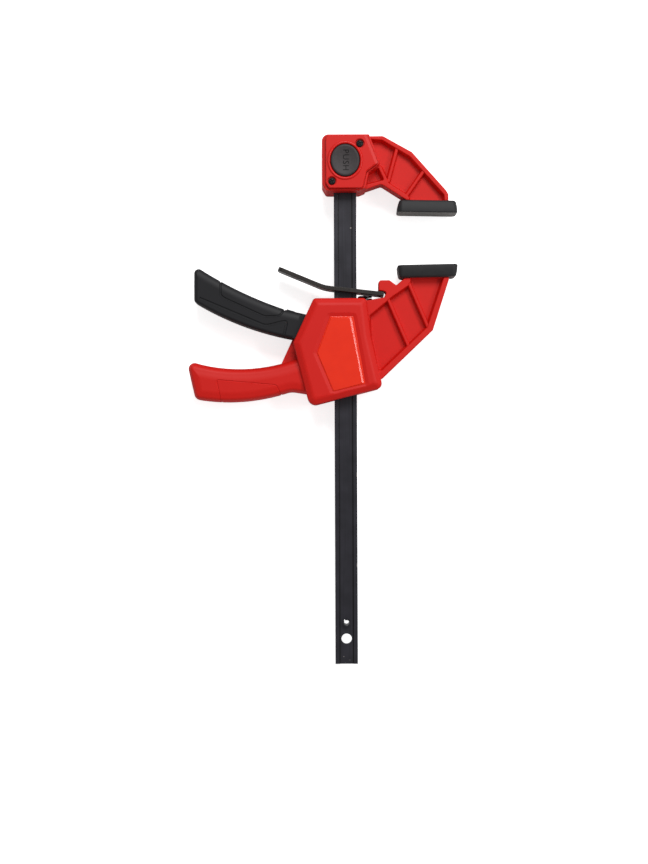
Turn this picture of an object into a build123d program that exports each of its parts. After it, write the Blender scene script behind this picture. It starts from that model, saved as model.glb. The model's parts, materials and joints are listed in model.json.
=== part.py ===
"""Quick release bar clamp, 200 mm nominal opening, lying flat on its side.

+Y runs along the bar towards the fixed jaw, +X from the bar to the pads and +Z out of the side
that carries the button. The origin is the middle of the fixed pad's clamping face. All sizes
are in millimetres.

Sketches of the fixed jaw are drawn on the plane "head", whose origin is on the bar's axis level
with the fixed pad's face. Sketches of the moving jaw are drawn on "jaw", whose origin is on the
bar's axis level with the moving pad's face. So x counts from the bar's axis and y from the pad.
"""

import os
from math import atan2, cos, degrees, hypot, pi, radians, sin, tan

from build123d import *

os.makedirs("parts", exist_ok=True)

# ---------------------------------------------------------------- driving dimensions

# overall
throat = 62.0  # bar axis to the middle of the pads
opening = 39.1  # gap between the pads at rest
bar_length = 395.0
toe_in = 1.1  # degrees each pad leans towards the other at its outer end

# bar
bar_width = 17.0
bar_thickness = 6.0
bar_groove_width = 10.4
bar_groove_depth = 0.9
bar_edge_round = 0.4
bar_top = 54.0  # the bar's upper end, inside the head
hang_hole_diameter = 8.0
hang_hole_to_end = 18.9
stop_pin_to_end = 31.5
stop_pin_diameter = 5.3
stop_pin_wall = 0.65
stop_pin_length = 12.0
stop_pin_slot = 1.2

# pads
pad_width = 24.0
pad_face_length = 45.6
pad_thickness = 9.5
pad_round = 4.0
pad_taper = 8.5  # degrees that its sides lean in towards its back
pad_face_rim = 0.5
pad_back_rim = 1.2
foot_length = 33.0
foot_depth = 4.5
foot_width = 12.0

# arms
arm_half = 8.0
web_half = 2.0
rib_width = 2.6
rib_drop = 0.8  # ribs end this far below the flanges

# head
head_height = 42.1  # along the bar
head_bottom = 16.4
head_left_wall = 8.9  # from the bar's edge to the head's left side
head_corner = 5.0
head_cover_thickness = 3.0
cover_inset = 1.6
socket_clearance = 0.1
pressed_in = 0.02  # clearance round pressed or driven parts
screw_clearance = 0.1
recess_clearance = 0.2  # round a screw's head
head_screw_lift = 0.7  # the head's cover is thin, so its screws sink less
head_screw_length = 10.0
screw_tip_gap = 0.6  # between a screw's point and the end of its hole

# button and lock pin
button_width = 21.6
button_height = 24.0
button_y = 38.4
button_proud = 1.6
button_wall = 1.8
button_top_wall = 2.6
button_gap = 0.3
button_travel = 4.0
button_stop_gap = 0.1  # left under the button's skirt when it is pressed home
button_floor_gap = 2.0  # solid floor between the bar and the button's well
collar_width = 2.2
collar_height = 0.9
lock_pin_diameter = 7.8
lock_pin_neck = 4.0
lock_pin_engagement = 3.5
lock_pin_length = 8.0  # of its thick end
lock_pin_room = 1.5  # under it when the button is pressed home
lock_pin_clearance = 0.1
neck_clearance = 0.2
lock_post_wall = 2.0  # of the button's post, round the pin's neck
button_spring_wire = 1.0
button_spring_turns = 3.5

# springs round the bar and under the release lever
drive_wire = 1.6
drive_turns = 5.0
brake_wire = 1.3
brake_turns = 4.5
brake_spring_diameter = 11.0
runs_per_turn = 16  # straight runs that make up one turn of a spring
wire_sides = 8
spring_gap = 0.3  # between the drive spring and the bar
spring_room = 0.6  # round the drive spring

# moving jaw, across the bar
trigger_pin_diameter = 5.0
trigger_eye_wall = 2.0
trigger_pin_down = 42.0  # below the moving pad's face
trigger_pin_to_bar = 0.4
trigger_pin_cover = 2.4  # left of each cover's height beyond the pin's bore
trigger_pin_end_gap = 0.1
trigger_side_gap = 0.7  # to each cover
fork_bar_gap = 0.9  # between the fork's arms and the bar's broad faces
web_bar_gap = 0.4
eye_gap = 0.3  # over the trigger's eye
running_clearance = 0.05
handle_round = 5.0
handle_tip_round = 5.2
handle_heel_round = 6.0
trigger_round = 3.8
trigger_tip_round = 4.0
panel_line_depth = 0.5
panel_line_width = 0.7
grip_line_width = 1.4
cover_side_height = 2.2
cover_bevel_height = 3.3
cover_bevel_width = 7.5
label_depth = 0.9
label_thickness = 0.7
label_gap = 0.15
cover_wall = 2.5
screw_diameter = 3.5
screw_head_diameter = 6.4
screw_head_height = 2.0
screw_sink = 0.5
screw_boss_wall = 1.4  # outside a screw's head
pin_boss_wall = 2.0
screw_cover = 2.0  # left of the front cover's height beyond a screw's hole

# drive plates
plate_thickness = 3.0
plate_reach = 5.0  # past the bar's edge
plate_hole_clearance = 0.2
plate_edge_gap = 0.9  # to the covers
nose_radius = 2.0
nose_gap = 0.15

# release lever
lever_thickness = 3.0
lever_tilt = 6.6  # degrees off square to the bar at rest
lever_bend = 16.0  # degrees more at the finger end
lever_bend_radius = 34.0
lever_flat = 43.7  # hinge edge to the middle of the bend
lever_finger = 37.7
lever_bite_gap = 0.05
lever_half_width = 9.0
lever_tip_round = 4.0
lever_down = 21.8  # hinge edge below the moving pad's face

# ---------------------------------------------------------------- derived sizes

bar_half = bar_width / 2
slab = bar_thickness / 2  # the bar's broad faces lie at +-slab
bar_bottom = bar_top - bar_length
head_top = head_bottom + head_height

drive_spring_inner = hypot(bar_half, slab) + spring_gap
drive_spring_outer = drive_spring_inner + drive_wire
core_half = drive_spring_outer + spring_room  # the jaw's core, which the covers close
fork_half = core_half - trigger_side_gap
fork_gap_half = slab + fork_bar_gap  # the slot in the trigger's fork
centre_web_half = slab + web_bar_gap
cover_height = cover_side_height + cover_bevel_height
side = core_half + cover_height  # outer faces of both covers and the head
head_front = side - head_cover_thickness
head_screw_seat = side - screw_sink - screw_head_height + head_screw_lift
jaw_screw_seat = side - screw_sink - screw_head_height

pin_x = bar_half + trigger_pin_to_bar + trigger_pin_diameter / 2
eye_radius = trigger_pin_diameter / 2 + trigger_eye_wall
room_top = trigger_pin_down - eye_radius - eye_gap
trigger_pin_half = side - trigger_pin_cover - trigger_pin_end_gap
nose_x = -6.0
nose_y = -trigger_pin_down - 7.5
plate_top = nose_y - nose_radius - nose_gap
spring_top = plate_top - 2 * plate_thickness
spring_floor = -86.0

head = Plane(origin=(-throat, 0, 0))
jaw = Plane(origin=(-throat, -opening, 0))
# both pad planes have their x towards the outer end and their y into the pad
lean = radians(toe_in)
fixed_pad_plane = Plane(origin=(0, 0, 0), x_dir=(cos(lean), -sin(lean), 0), z_dir=(0, 0, 1))
moving_pad_plane = Plane(origin=(0, -opening, 0), x_dir=(cos(lean), sin(lean), 0), z_dir=(0, 0, -1))


# ---------------------------------------------------------------- shared shapes


def outline(*points):
    """Adds a closed straight-sided face to the sketch in progress."""
    Polygon(*points, align=None)


def ribs(plane, lines):
    """Straight ribs through an arm's web, each from its start to its end."""
    with BuildPart() as body:
        with BuildSketch(plane):
            for start, end in lines:
                run = Vector(*end) - Vector(*start)
                middle = (Vector(*start) + Vector(*end)) * 0.5
                with Locations((middle.X, middle.Y)):
                    Rectangle(run.length, rib_width, rotation=degrees(atan2(run.Y, run.X)))
        extrude(amount=arm_half - rib_drop, both=True)
    return body.part


def panel_line(plane, half, width, points):
    """What cuts a shallow line into both broad faces of a grip, which lie at +-half."""
    with BuildPart() as body:
        for face in (1, -1):
            with BuildSketch(plane.offset(face * (half - panel_line_depth))):
                with BuildLine():
                    Polyline(*points)
                trace(line_width=width)
            extrude(amount=face * (panel_line_depth + 1))
    return body.part


def spot_on(plane, x, y):
    """A plane like the given one, with its origin moved to (x, y) on it."""
    return Plane(plane.origin + plane.x_dir * x + plane.y_dir * y, plane.x_dir, plane.z_dir)


def pad_back(x):
    """How far behind its clamping face a pad's back lies, x outwards from its middle."""
    return pad_thickness / cos(lean) - x * tan(lean)


def pad_foot(clearance=0.0, sunk=0.2):
    """The jaw's foot that a pad is pressed on, sunk a little into the arm."""
    with Locations((0, pad_thickness - foot_depth / 2 + sunk / 2)):
        Rectangle(foot_length + 2 * clearance, foot_depth + sunk + 2 * clearance)


def pad(plane):
    """A soft pad with its clamping face on the plane, hollowed for the jaw's foot."""
    depth = Plane(plane.origin, x_dir=plane.x_dir, z_dir=plane.y_dir)
    with BuildPart() as body:
        with BuildSketch(depth):
            RectangleRounded(pad_face_length, pad_width, pad_round)
        extrude(amount=pad_thickness, taper=pad_taper)
        broad = body.faces().sort_by(Axis(plane.origin, plane.y_dir))
        chamfer(broad[-1].edges(), pad_back_rim)
        chamfer(broad[0].edges(), pad_face_rim)
        with BuildSketch(plane):
            pad_foot(running_clearance, 1.0)
        extrude(amount=foot_width / 2 + running_clearance, both=True, mode=Mode.SUBTRACT)
    return body.part


def screw(seat, length):
    """A pan head screw whose head stands on the plane seat and whose shank runs back from it."""
    with BuildPart() as body:
        with BuildSketch(seat):
            Circle(screw_head_diameter / 2)
        extrude(amount=screw_head_height)
        chamfer(body.faces().sort_by(Axis(seat.origin, seat.z_dir))[-1].edges(), 0.5)
        with BuildSketch(seat):
            Circle(screw_diameter / 2)
        extrude(amount=-length + screw_diameter / 2)
        with BuildSketch(seat.offset(-length + screw_diameter / 2)):
            Circle(screw_diameter / 2)
        extrude(amount=-screw_diameter / 2, taper=35)
    return body.part


def coil_spring(foot, wire, inner_radius, length, turns):
    """A compression spring that stands on the plane foot and is length long over all.

    It climbs in short straight runs, since a smooth helix would need most of the model's facets.
    """
    radius = inner_radius + wire / 2
    runs = round(turns * runs_per_turn)
    step = 2 * pi / runs_per_turn
    climb = (length - wire) / runs
    corners = [
        (radius * cos(i * step), radius * sin(i * step), wire / 2 + i * climb) for i in range(runs + 1)
    ]
    with BuildPart() as coil:
        with BuildLine(foot):
            path = Polyline(*corners)
        with BuildSketch(Plane(origin=path @ 0, z_dir=path % 0)):
            RegularPolygon(wire / 2, wire_sides)
        sweep(path=path, transition=Transition.RIGHT)
    return coil.part


def button_oval(grow):
    """The button's outline, grow outside its edge."""
    SlotOverall(button_height + 2 * grow, button_width + 2 * grow, rotation=90)


def write(part, name):
    """Labels a finished piece and writes its STEP file."""
    part.label = name
    export_step(part, f"parts/{name}.step")


# ---------------------------------------------------------------- bar

bar_section = Plane(origin=(-throat, bar_bottom, 0), x_dir=(1, 0, 0), z_dir=(0, 1, 0))
groove_floor = slab - bar_groove_depth
hang_hole_y = bar_bottom + hang_hole_to_end
stop_pin_y = bar_bottom + stop_pin_to_end

with BuildPart() as bar:
    with BuildSketch(bar_section):
        Rectangle(bar_width, bar_thickness)
        with Locations((0, slab), (0, -slab)):
            Rectangle(bar_groove_width, 2 * bar_groove_depth, mode=Mode.SUBTRACT)
        fillet(vertices().filter_by(lambda v: abs(v.Y) > groove_floor + 0.01), bar_edge_round)
    extrude(amount=bar_length)
    with BuildSketch(head):
        with Locations((0, hang_hole_y)):
            Circle(hang_hole_diameter / 2)
        with Locations((0, stop_pin_y)):
            Circle(stop_pin_diameter / 2 + pressed_in)
        # keyhole for the lock pin, open at the top so that the head slides off
        with Locations((0, button_y)):
            Circle(lock_pin_diameter / 2 + lock_pin_clearance)
        with Locations((0, (button_y + bar_top) / 2 + 1)):
            Rectangle(lock_pin_neck + 2 * neck_clearance, bar_top - button_y + 2)
    extrude(amount=slab, both=True, mode=Mode.SUBTRACT)
write(bar.part, "bar")

with BuildPart() as stop_pin:
    with BuildSketch(head):
        with Locations((0, stop_pin_y)):
            Circle(stop_pin_diameter / 2)
            Circle(stop_pin_diameter / 2 - stop_pin_wall, mode=Mode.SUBTRACT)
        with Locations(Location((0, stop_pin_y), 135)):
            with Locations((stop_pin_diameter / 2, 0)):
                Rectangle(stop_pin_diameter, stop_pin_slot, mode=Mode.SUBTRACT)
    extrude(amount=stop_pin_length / 2, both=True)
write(stop_pin.part, "stop_pin")


# ---------------------------------------------------------------- fixed jaw

head_right = bar_half + 9.3
fixed_arm = (
    (head_right - 6, head_top),
    (bar_half + 20.3, head_top),
    (throat - 11.4, 46.1),
    (throat + 14.2, 17.3),
    (throat + 16.1, 14.2),
    (throat + 16.1, pad_back(16.1)),
    (throat - 15.8, pad_back(-15.8)),
    (bar_half + 18.9, 22.0),
    (bar_half + 4.9, 16.8),
    (0, head_bottom),
    (0, head_top - 4),
)
# the pocket between its flanges, open at the pad
fixed_web = (
    (bar_half + 8.5, 56.0),
    (bar_half + 19.5, 55.2),
    (throat - 13.0, 42.7),
    (throat + 12.8, 13.6),
    (throat + 13.0, 8.0),
    (throat - 13.4, 8.0),
    (throat - 13.6, 11.8),
    (throat - 16.2, 14.6),
    (bar_half + 24.5, 22.6),
    (bar_half + 23.2, 25.9),
    (bar_half + 18.9, 35.1),
    (bar_half + 11.5, 40.0),
)
fixed_ribs = (
    ((bar_half + 31.1, 50.0), (bar_half + 23.8, 23.0)),
    ((throat - 2.0, 32.7), (throat - 16.2, 12.5)),
)
head_pocket = (
    (bar_half + 9.2, 30.7),
    (bar_half + 16.7, 34.2),
    (bar_half + 20.9, 25.1),
    (bar_half + 6.3, 21.4),
)
lock_shoulder = lock_pin_engagement - slab
cover_right = (
    (bar_half + 8.0, head_top - cover_inset),
    (bar_half + 16.4, 36.6),
    (bar_half + 7.6, 30.2),
    (bar_half + 5.0, 19.1),
    (bar_half + 3.7, head_bottom + 1.4),
)
head_left = -(bar_half + head_left_wall)


def head_outline(grow):
    """The head seen from the front, grow outside its cover plate."""
    right, vertex, waist, hip, toe = cover_right
    outline(
        (head_left + cover_inset - grow, right[1] + grow),
        (right[0] + grow, right[1] + grow),
        (vertex[0] + grow, vertex[1]),
        (waist[0] + grow, waist[1] - grow / 2),
        (hip[0] + grow, hip[1] - grow),
        (toe[0] + grow, toe[1] - grow),
        (head_left + cover_inset + 2.8 - grow * 0.8, toe[1] - grow),
        (head_left + cover_inset - grow, toe[1] + 3.9 - grow * 0.2),
    )


with BuildPart() as fixed_jaw_frame:
    with BuildSketch(head):
        outline(*fixed_arm)
    extrude(amount=arm_half, both=True)
    for face in (1, -1):
        with BuildSketch(head.offset(face * web_half)):
            outline(*fixed_web)
            outline(*head_pocket)
        extrude(amount=face * arm_half, mode=Mode.SUBTRACT)
    add(ribs(head, fixed_ribs))
    # foot that the pad is pressed on
    with BuildSketch(fixed_pad_plane):
        pad_foot()
    extrude(amount=foot_width / 2, both=True)
    # head block, from the back up to the cover plate
    with BuildSketch(head.offset(-side)):
        head_outline(cover_inset)
        fillet(vertices().group_by(Axis.X)[0].sort_by(Axis.Y)[-1], head_corner)
    extrude(amount=side + head_front)
    # socket for the bar, the button's well, and the lock pin's way
    with BuildSketch(head):
        with Locations((0, (head_bottom + bar_top) / 2 - 3)):
            Rectangle(bar_width + 2 * socket_clearance, bar_top - head_bottom + 6 + 2 * socket_clearance)
    extrude(amount=slab + socket_clearance, both=True, mode=Mode.SUBTRACT)
    with BuildSketch(head.offset(slab + button_floor_gap)):
        with Locations((0, button_y)):
            button_oval(button_gap)
    extrude(amount=side, mode=Mode.SUBTRACT)
    with BuildSketch(head):
        with Locations((0, button_y)):
            Circle(lock_pin_neck / 2 + neck_clearance)
    extrude(amount=side, mode=Mode.SUBTRACT)
    with BuildSketch(head):
        with Locations((0, button_y)):
            Circle(lock_pin_diameter / 2 + lock_pin_clearance)
    extrude(amount=lock_shoulder - lock_pin_length - button_travel - lock_pin_room, mode=Mode.SUBTRACT)
    # pilot holes for the cover's screws
    head_screws = ((bar_half + 2.5, head_top - 7.4), (-(bar_half + 1.5), head_bottom + 6.5))
    with BuildSketch(head.offset(head_front)):
        with Locations(*head_screws):
            Circle(screw_diameter / 2 + pressed_in)
    extrude(amount=head_screw_seat - head_front - head_screw_length - screw_tip_gap, mode=Mode.SUBTRACT)
write(fixed_jaw_frame.part, "fixed_jaw_frame")

with BuildPart() as head_cover:
    with BuildSketch(head.offset(head_front)):
        head_outline(0)
        fillet(vertices().group_by(Axis.X)[0].sort_by(Axis.Y)[-1], head_corner - cover_inset)
        fillet(vertices().sort_by(Axis.X)[-1], 2.0)
    extrude(amount=head_cover_thickness)
    chamfer(faces().sort_by(Axis.Z)[-1].edges(), 0.7)
    # collar round the button
    with BuildSketch(head.offset(side)):
        with Locations((0, button_y)):
            button_oval(collar_width)
    extrude(amount=collar_height, taper=30)
    with BuildSketch(head.offset(head_front)):
        with Locations((0, button_y)):
            button_oval(button_gap)
    extrude(amount=side, mode=Mode.SUBTRACT)
    with BuildSketch(head.offset(head_screw_seat)):
        with Locations(*head_screws):
            Circle(screw_head_diameter / 2 + recess_clearance)
    extrude(amount=side, mode=Mode.SUBTRACT)
    with BuildSketch(head.offset(head_front)):
        with Locations(*head_screws):
            Circle(screw_diameter / 2 + screw_clearance)
    extrude(amount=side, mode=Mode.SUBTRACT)
write(head_cover.part, "head_cover")

# ---------------------------------------------------------------- head's screws, button, lock pin

write(
    Compound(
        [screw(spot_on(head.offset(head_screw_seat), *spot), head_screw_length) for spot in head_screws]
    ),
    "head_cover_screws",
)

well_floor = slab + button_floor_gap
button_face = side + button_proud
skirt_end = well_floor + button_travel + button_stop_gap
with BuildPart() as push_button:
    with BuildSketch(head.offset(skirt_end)):
        with Locations((0, button_y)):
            button_oval(0)
    extrude(amount=button_face - skirt_end)
    chamfer(faces().sort_by(Axis.Z)[-1].edges(), 0.5, 1.2)
    with BuildSketch(head.offset(well_floor)):
        with Locations((0, button_y)):
            button_oval(-button_wall)
            Circle(lock_pin_neck / 2 + lock_post_wall, mode=Mode.SUBTRACT)
    extrude(amount=button_face - button_top_wall - well_floor, mode=Mode.SUBTRACT)
    with BuildSketch(head.offset(well_floor)):
        with Locations((0, button_y)):
            Circle(lock_pin_neck / 2)
    extrude(amount=button_face - button_top_wall - well_floor, mode=Mode.SUBTRACT)
write(push_button.part, "push_button")

with BuildPart() as lock_pin:
    with BuildSketch(head.offset(lock_shoulder)):
        with Locations((0, button_y)):
            Circle(lock_pin_diameter / 2)
    extrude(amount=-lock_pin_length)
    chamfer(faces().sort_by(Axis.Z)[0].edges(), 0.6)
    with BuildSketch(head.offset(lock_shoulder)):
        with Locations((0, button_y)):
            Circle(lock_pin_neck / 2)
    extrude(amount=button_face - button_top_wall - lock_shoulder)
write(lock_pin.part, "lock_pin")

button_spring_foot = Plane(origin=(-throat, button_y, well_floor))
button_spring_length = button_face - button_top_wall - well_floor
button_spring_inner = lock_pin_neck / 2 + lock_post_wall + 0.5
write(
    coil_spring(
        button_spring_foot,
        button_spring_wire,
        button_spring_inner,
        button_spring_length,
        button_spring_turns,
    ),
    "button_spring",
)

write(pad(fixed_pad_plane), "fixed_pad")
write(pad(moving_pad_plane), "moving_pad")


# ---------------------------------------------------------------- moving jaw

cover_corners = (
    (-(bar_half + 15.5), -25.4),
    (bar_half + 7.2, -25.4),
    (bar_half + 10.5, -53.7),
    (bar_half + 19.3, -92.9),
    (-(bar_half + 18.8), -106.9),
    (-(bar_half + 31.1), -58.8),
)
cover_rounds = (3.0, 3.5, 6.0, 4.5, 6.0, 2.0)
label_corners = (
    (-11.6, -39.3),
    (5.8, -39.3),
    (14.6, -89.9),
    (-9.6, -95.6),
    (-21.7, -66.8),
)
jaw_screws = (
    (-(bar_half + 8.5), -31.4),
    (-(bar_half + 19.0), -77.0),
    (bar_half + 11.0, -80.0),
    (-(bar_half + 13.0), -97.5),
)


def cover_outline(shrink=0.0):
    """The covers' six-sided outline, shrink inside its edge, with its corners rounded."""
    outline(*cover_corners)
    if shrink:
        offset(amount=-shrink, kind=Kind.INTERSECTION)
    for corner, radius in zip(cover_corners, cover_rounds):
        near = vertices().sort_by_distance((corner[0], corner[1], 0))[0]
        fillet(near, max(radius - shrink, 0.8))


moving_arm = (
    (throat - 17.2, -pad_back(-17.2)),
    (throat + 16.3, -pad_back(16.3)),
    (throat + 16.2, -pad_thickness - 1.6),
    (throat + 4.0, -49.4),
    (bar_half + 20.0, -85.2),
    (bar_half + 10.0, -92.0),
    (bar_half - 2.0, -92.0),
    (bar_half + 1.0, -26.0),
    (bar_half + 8.4, -26.6),
    (bar_half + 20.8, -24.4),
    (bar_half + 22.4, -20.6),
    (bar_half + 19.6, -19.7),
    (bar_half + 16.5, -19.4),
    (bar_half + 16.5, -12.9),
    (bar_half + 17.9, -11.5),
    (bar_half + 24.8, -11.5),
    (bar_half + 29.9, -15.4),
)
# the pocket between its flanges, open at the pad
moving_web = (
    (throat - 12.6, -8.0),
    (throat + 12.9, -8.0),
    (throat - 0.3, -47.2),
    (bar_half + 18.6, -79.8),
    (bar_half + 15.6, -79.4),
    (bar_half + 10.2, -53.7),
    (bar_half + 9.6, -38.2),
    (bar_half + 10.9, -37.3),
    (bar_half + 26.0, -24.6),
    (throat - 14.8, -15.9),
    (throat - 13.0, -13.0),
)
moving_ribs = (
    ((throat - 14.4, -12.8), (throat + 0.7, -48.0)),
    ((bar_half + 23.4, -27.0), (bar_half + 39.8, -63.9)),
)
trigger_room = (
    (pin_x + eye_radius + 0.5, -room_top),
    (-(bar_half + 60), -room_top),
    (-(bar_half + 60), -70.0),
    (-(bar_half + 7.0), -70.0),
    (-(bar_half + 7.0), spring_floor),
    (bar_half + plate_reach + 1.0, spring_floor),
    (bar_half + plate_reach + 1.0, -trigger_pin_down - eye_radius - 2.0),
    (pin_x + eye_radius + 0.5, -trigger_pin_down - eye_radius),
)
centre_web = (
    (-(bar_half + 41.0), -76.0),
    (-(bar_half + 30.0), -52.0),
    (-(bar_half + 21.5), -50.0),
    (-(bar_half + 7.5), -57.0),
    (-(bar_half + 7.5), -76.0),
)
brake_spring_x = bar_half + 6.4
brake_spring_floor = -33.5
brake_pocket_radius = brake_spring_diameter / 2 + 0.3
brake_foot = Plane(
    origin=(-throat + brake_spring_x, -opening + brake_spring_floor, 0), x_dir=(1, 0, 0), z_dir=(0, 1, 0)
)

root_top = (-(bar_half + 26.0), -69.8)
root_low = (-(bar_half + 20.0), -97.6)
handle_tip = (-(bar_half + 112.4), -71.4)
handle_heel = (-(bar_half + 105.2), -101.0)
handle_panel = (
    (-(bar_half + 85.5), -102.4),
    (-(bar_half + 88.9), -86.5),
    (-(bar_half + 44.0), -90.5),
    (-(bar_half + 40.5), -96.3),
)
with BuildPart() as handle:
    with BuildSketch(jaw):
        with BuildLine():
            ThreePointArc(root_top, (-(bar_half + 68.5), -78.1), handle_tip)
            Line(handle_tip, handle_heel)
            belly = ThreePointArc(handle_heel, (-(bar_half + 75.1), -103.2), (-(bar_half + 33.0), -95.5))
            TangentArc(belly @ 1, root_low, tangent=belly % 1)
            Line(root_low, root_top)
        make_face()
        fillet(vertices().group_by(Axis.X)[0], handle_tip_round)
        fillet(vertices().sort_by_distance((*handle_heel, 0))[0], handle_heel_round)
    extrude(amount=core_half, both=True)
    rims = edges().filter_by(lambda e: abs(abs(e.center().Z) - core_half) < 0.1)
    fillet(rims.filter_by(lambda e: e.center().X < -throat - bar_half - 27), handle_round)
    add(panel_line(jaw, core_half, panel_line_width, handle_panel), mode=Mode.SUBTRACT)

with BuildPart() as moving_jaw_frame:
    with BuildSketch(jaw):
        outline(*moving_arm)
    extrude(amount=arm_half, both=True)
    for face in (1, -1):
        with BuildSketch(jaw.offset(face * web_half)):
            outline(*moving_web)
        extrude(amount=face * arm_half, mode=Mode.SUBTRACT)
    add(ribs(jaw, moving_ribs))
    with BuildSketch(moving_pad_plane):
        pad_foot()
    extrude(amount=foot_width / 2, both=True)
    # body core between the covers, hollowed for the trigger, the plates and their spring
    with BuildSketch(jaw):
        cover_outline(0.6)
    extrude(amount=core_half, both=True)
    add(handle.part)
    with BuildSketch(jaw):
        outline(*trigger_room)
    extrude(amount=core_half, both=True, mode=Mode.SUBTRACT)
    with BuildSketch(jaw):
        outline(*centre_web)
    extrude(amount=centre_web_half, both=True)
    # way through for the bar, and the release lever's spring pocket
    with BuildSketch(jaw):
        with Locations((0, -65)):
            Rectangle(bar_width + 2 * socket_clearance, 120)
    extrude(amount=slab + socket_clearance, both=True, mode=Mode.SUBTRACT)
    with BuildSketch(brake_foot):
        Circle(brake_pocket_radius)
    extrude(amount=20, mode=Mode.SUBTRACT)
    with BuildSketch(jaw):
        with Locations(*jaw_screws):
            Circle(screw_diameter / 2 + screw_clearance)
    extrude(amount=core_half, both=True, mode=Mode.SUBTRACT)
write(moving_jaw_frame.part, "moving_jaw_frame")


def cover(face):
    """One of the two shells: face is 1 for the front one and -1 for the back one."""
    rim_height = core_half + cover_side_height
    with BuildPart() as shell:
        with BuildSketch(jaw.offset(face * core_half)):
            cover_outline()
        extrude(amount=face * cover_side_height)
        with BuildSketch(jaw.offset(face * rim_height)):
            cover_outline()
        with BuildSketch(jaw.offset(face * side)):
            cover_outline(cover_bevel_width)
        loft()
        # hollow behind, with bosses for the screws and the trigger's pin
        with BuildSketch(jaw.offset(face * core_half)):
            cover_outline(cover_bevel_width)
            with Locations(*jaw_screws):
                Circle(screw_head_diameter / 2 + screw_boss_wall, mode=Mode.SUBTRACT)
            with Locations((pin_x, -trigger_pin_down)):
                Circle(trigger_pin_diameter / 2 + pin_boss_wall, mode=Mode.SUBTRACT)
        extrude(amount=face * (cover_height - cover_wall), mode=Mode.SUBTRACT)
        with BuildSketch(jaw.offset(face * core_half)):
            with Locations((pin_x, -trigger_pin_down)):
                Circle(trigger_pin_diameter / 2 + running_clearance / 2)
        extrude(amount=face * (cover_height - trigger_pin_cover), mode=Mode.SUBTRACT)
    return shell


front = cover(1)
with BuildPart() as front_cover:
    add(front.part)
    with BuildSketch(jaw.offset(side - label_depth)):
        outline(*label_corners)
        offset(amount=label_gap, kind=Kind.INTERSECTION)
    extrude(amount=label_depth, taper=-60, mode=Mode.SUBTRACT)
    with BuildSketch(jaw.offset(core_half)):
        with Locations(*jaw_screws):
            Circle(screw_diameter / 2 + pressed_in)
    extrude(amount=cover_height - screw_cover, mode=Mode.SUBTRACT)
write(front_cover.part, "front_cover")

with BuildPart() as label_plate:
    with BuildSketch(jaw.offset(side - label_depth)):
        outline(*label_corners)
        fillet(vertices(), 0.8)
    extrude(amount=label_thickness)
write(label_plate.part, "label_plate")

back = cover(-1)
with BuildPart() as rear_cover:
    add(back.part)
    with BuildSketch(jaw.offset(-jaw_screw_seat)):
        with Locations(*jaw_screws):
            Circle(screw_head_diameter / 2 + recess_clearance)
    extrude(amount=-side, mode=Mode.SUBTRACT)
    with BuildSketch(jaw):
        with Locations(*jaw_screws):
            Circle(screw_diameter / 2 + screw_clearance)
    extrude(amount=-side, mode=Mode.SUBTRACT)
write(rear_cover.part, "rear_cover")

jaw_screw_length = jaw_screw_seat + side - screw_cover - screw_tip_gap
screw_back = Plane(origin=(-throat, -opening, -jaw_screw_seat), x_dir=(-1, 0, 0), z_dir=(0, 0, -1))
write(
    Compound([screw(spot_on(screw_back, -x, y), jaw_screw_length) for x, y in jaw_screws]),
    "cover_screws",
)

with BuildPart() as trigger_pin:
    with BuildSketch(jaw.offset(-trigger_pin_half)):
        with Locations((pin_x, -trigger_pin_down)):
            Circle(trigger_pin_diameter / 2)
    extrude(amount=2 * trigger_pin_half)
    chamfer(edges().filter_by(GeomType.CIRCLE), 0.3)
write(trigger_pin.part, "trigger_pin")


# ---------------------------------------------------------------- trigger

fork_arms = (
    (-(bar_half + 26.0), -room_top - 1.2),
    (-(bar_half + 16.0), -room_top - 0.4),
    (pin_x, -trigger_pin_down + eye_radius),
    (pin_x, -trigger_pin_down - eye_radius),
    (nose_x + 1.6, nose_y - 1.2),
    (nose_x - 2.0, nose_y + 0.2),
    (-(bar_half + 8.0), -47.2),
    (-(bar_half + 10.0), -52.5),
    (-(bar_half + 24.5), -57.2),
    (-(bar_half + 32.0), -55.0),
)
fork_gap = (
    (-(bar_half + 22.5), -30.0),
    (-(bar_half + 22.5), -36.0),
    (-(bar_half + 33.5), -39.5),
    (-(bar_half + 49.0), -62.0),
    (pin_x + 10.0, -62.0),
    (pin_x + 10.0, -30.0),
)
trigger_tip = (-(bar_half + 105.7), 0.2)
trigger_butt = (-(bar_half + 105.7), -27.6)
trigger_knee = (-(bar_half + 36.5), -33.7)
cheek_top = (-(bar_half + 18.5), -room_top - 0.6)
cheek_low = (-(bar_half + 24.5), -57.0)
grip_line = (
    (-(bar_half + 85.7), -13.0),
    (-(bar_half + 85.7), -23.0),
    (-(bar_half + 82.8), -24.9),
    (-(bar_half + 52.4), -38.9),
    (-(bar_half + 41.2), -38.3),
)
finger_line = (
    (-(bar_half + 102.5), -24.4),
    (-(bar_half + 51.7), -45.9),
    (-(bar_half + 35.3), -41.8),
    (-(bar_half + 38.5), -55.3),
)
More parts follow.
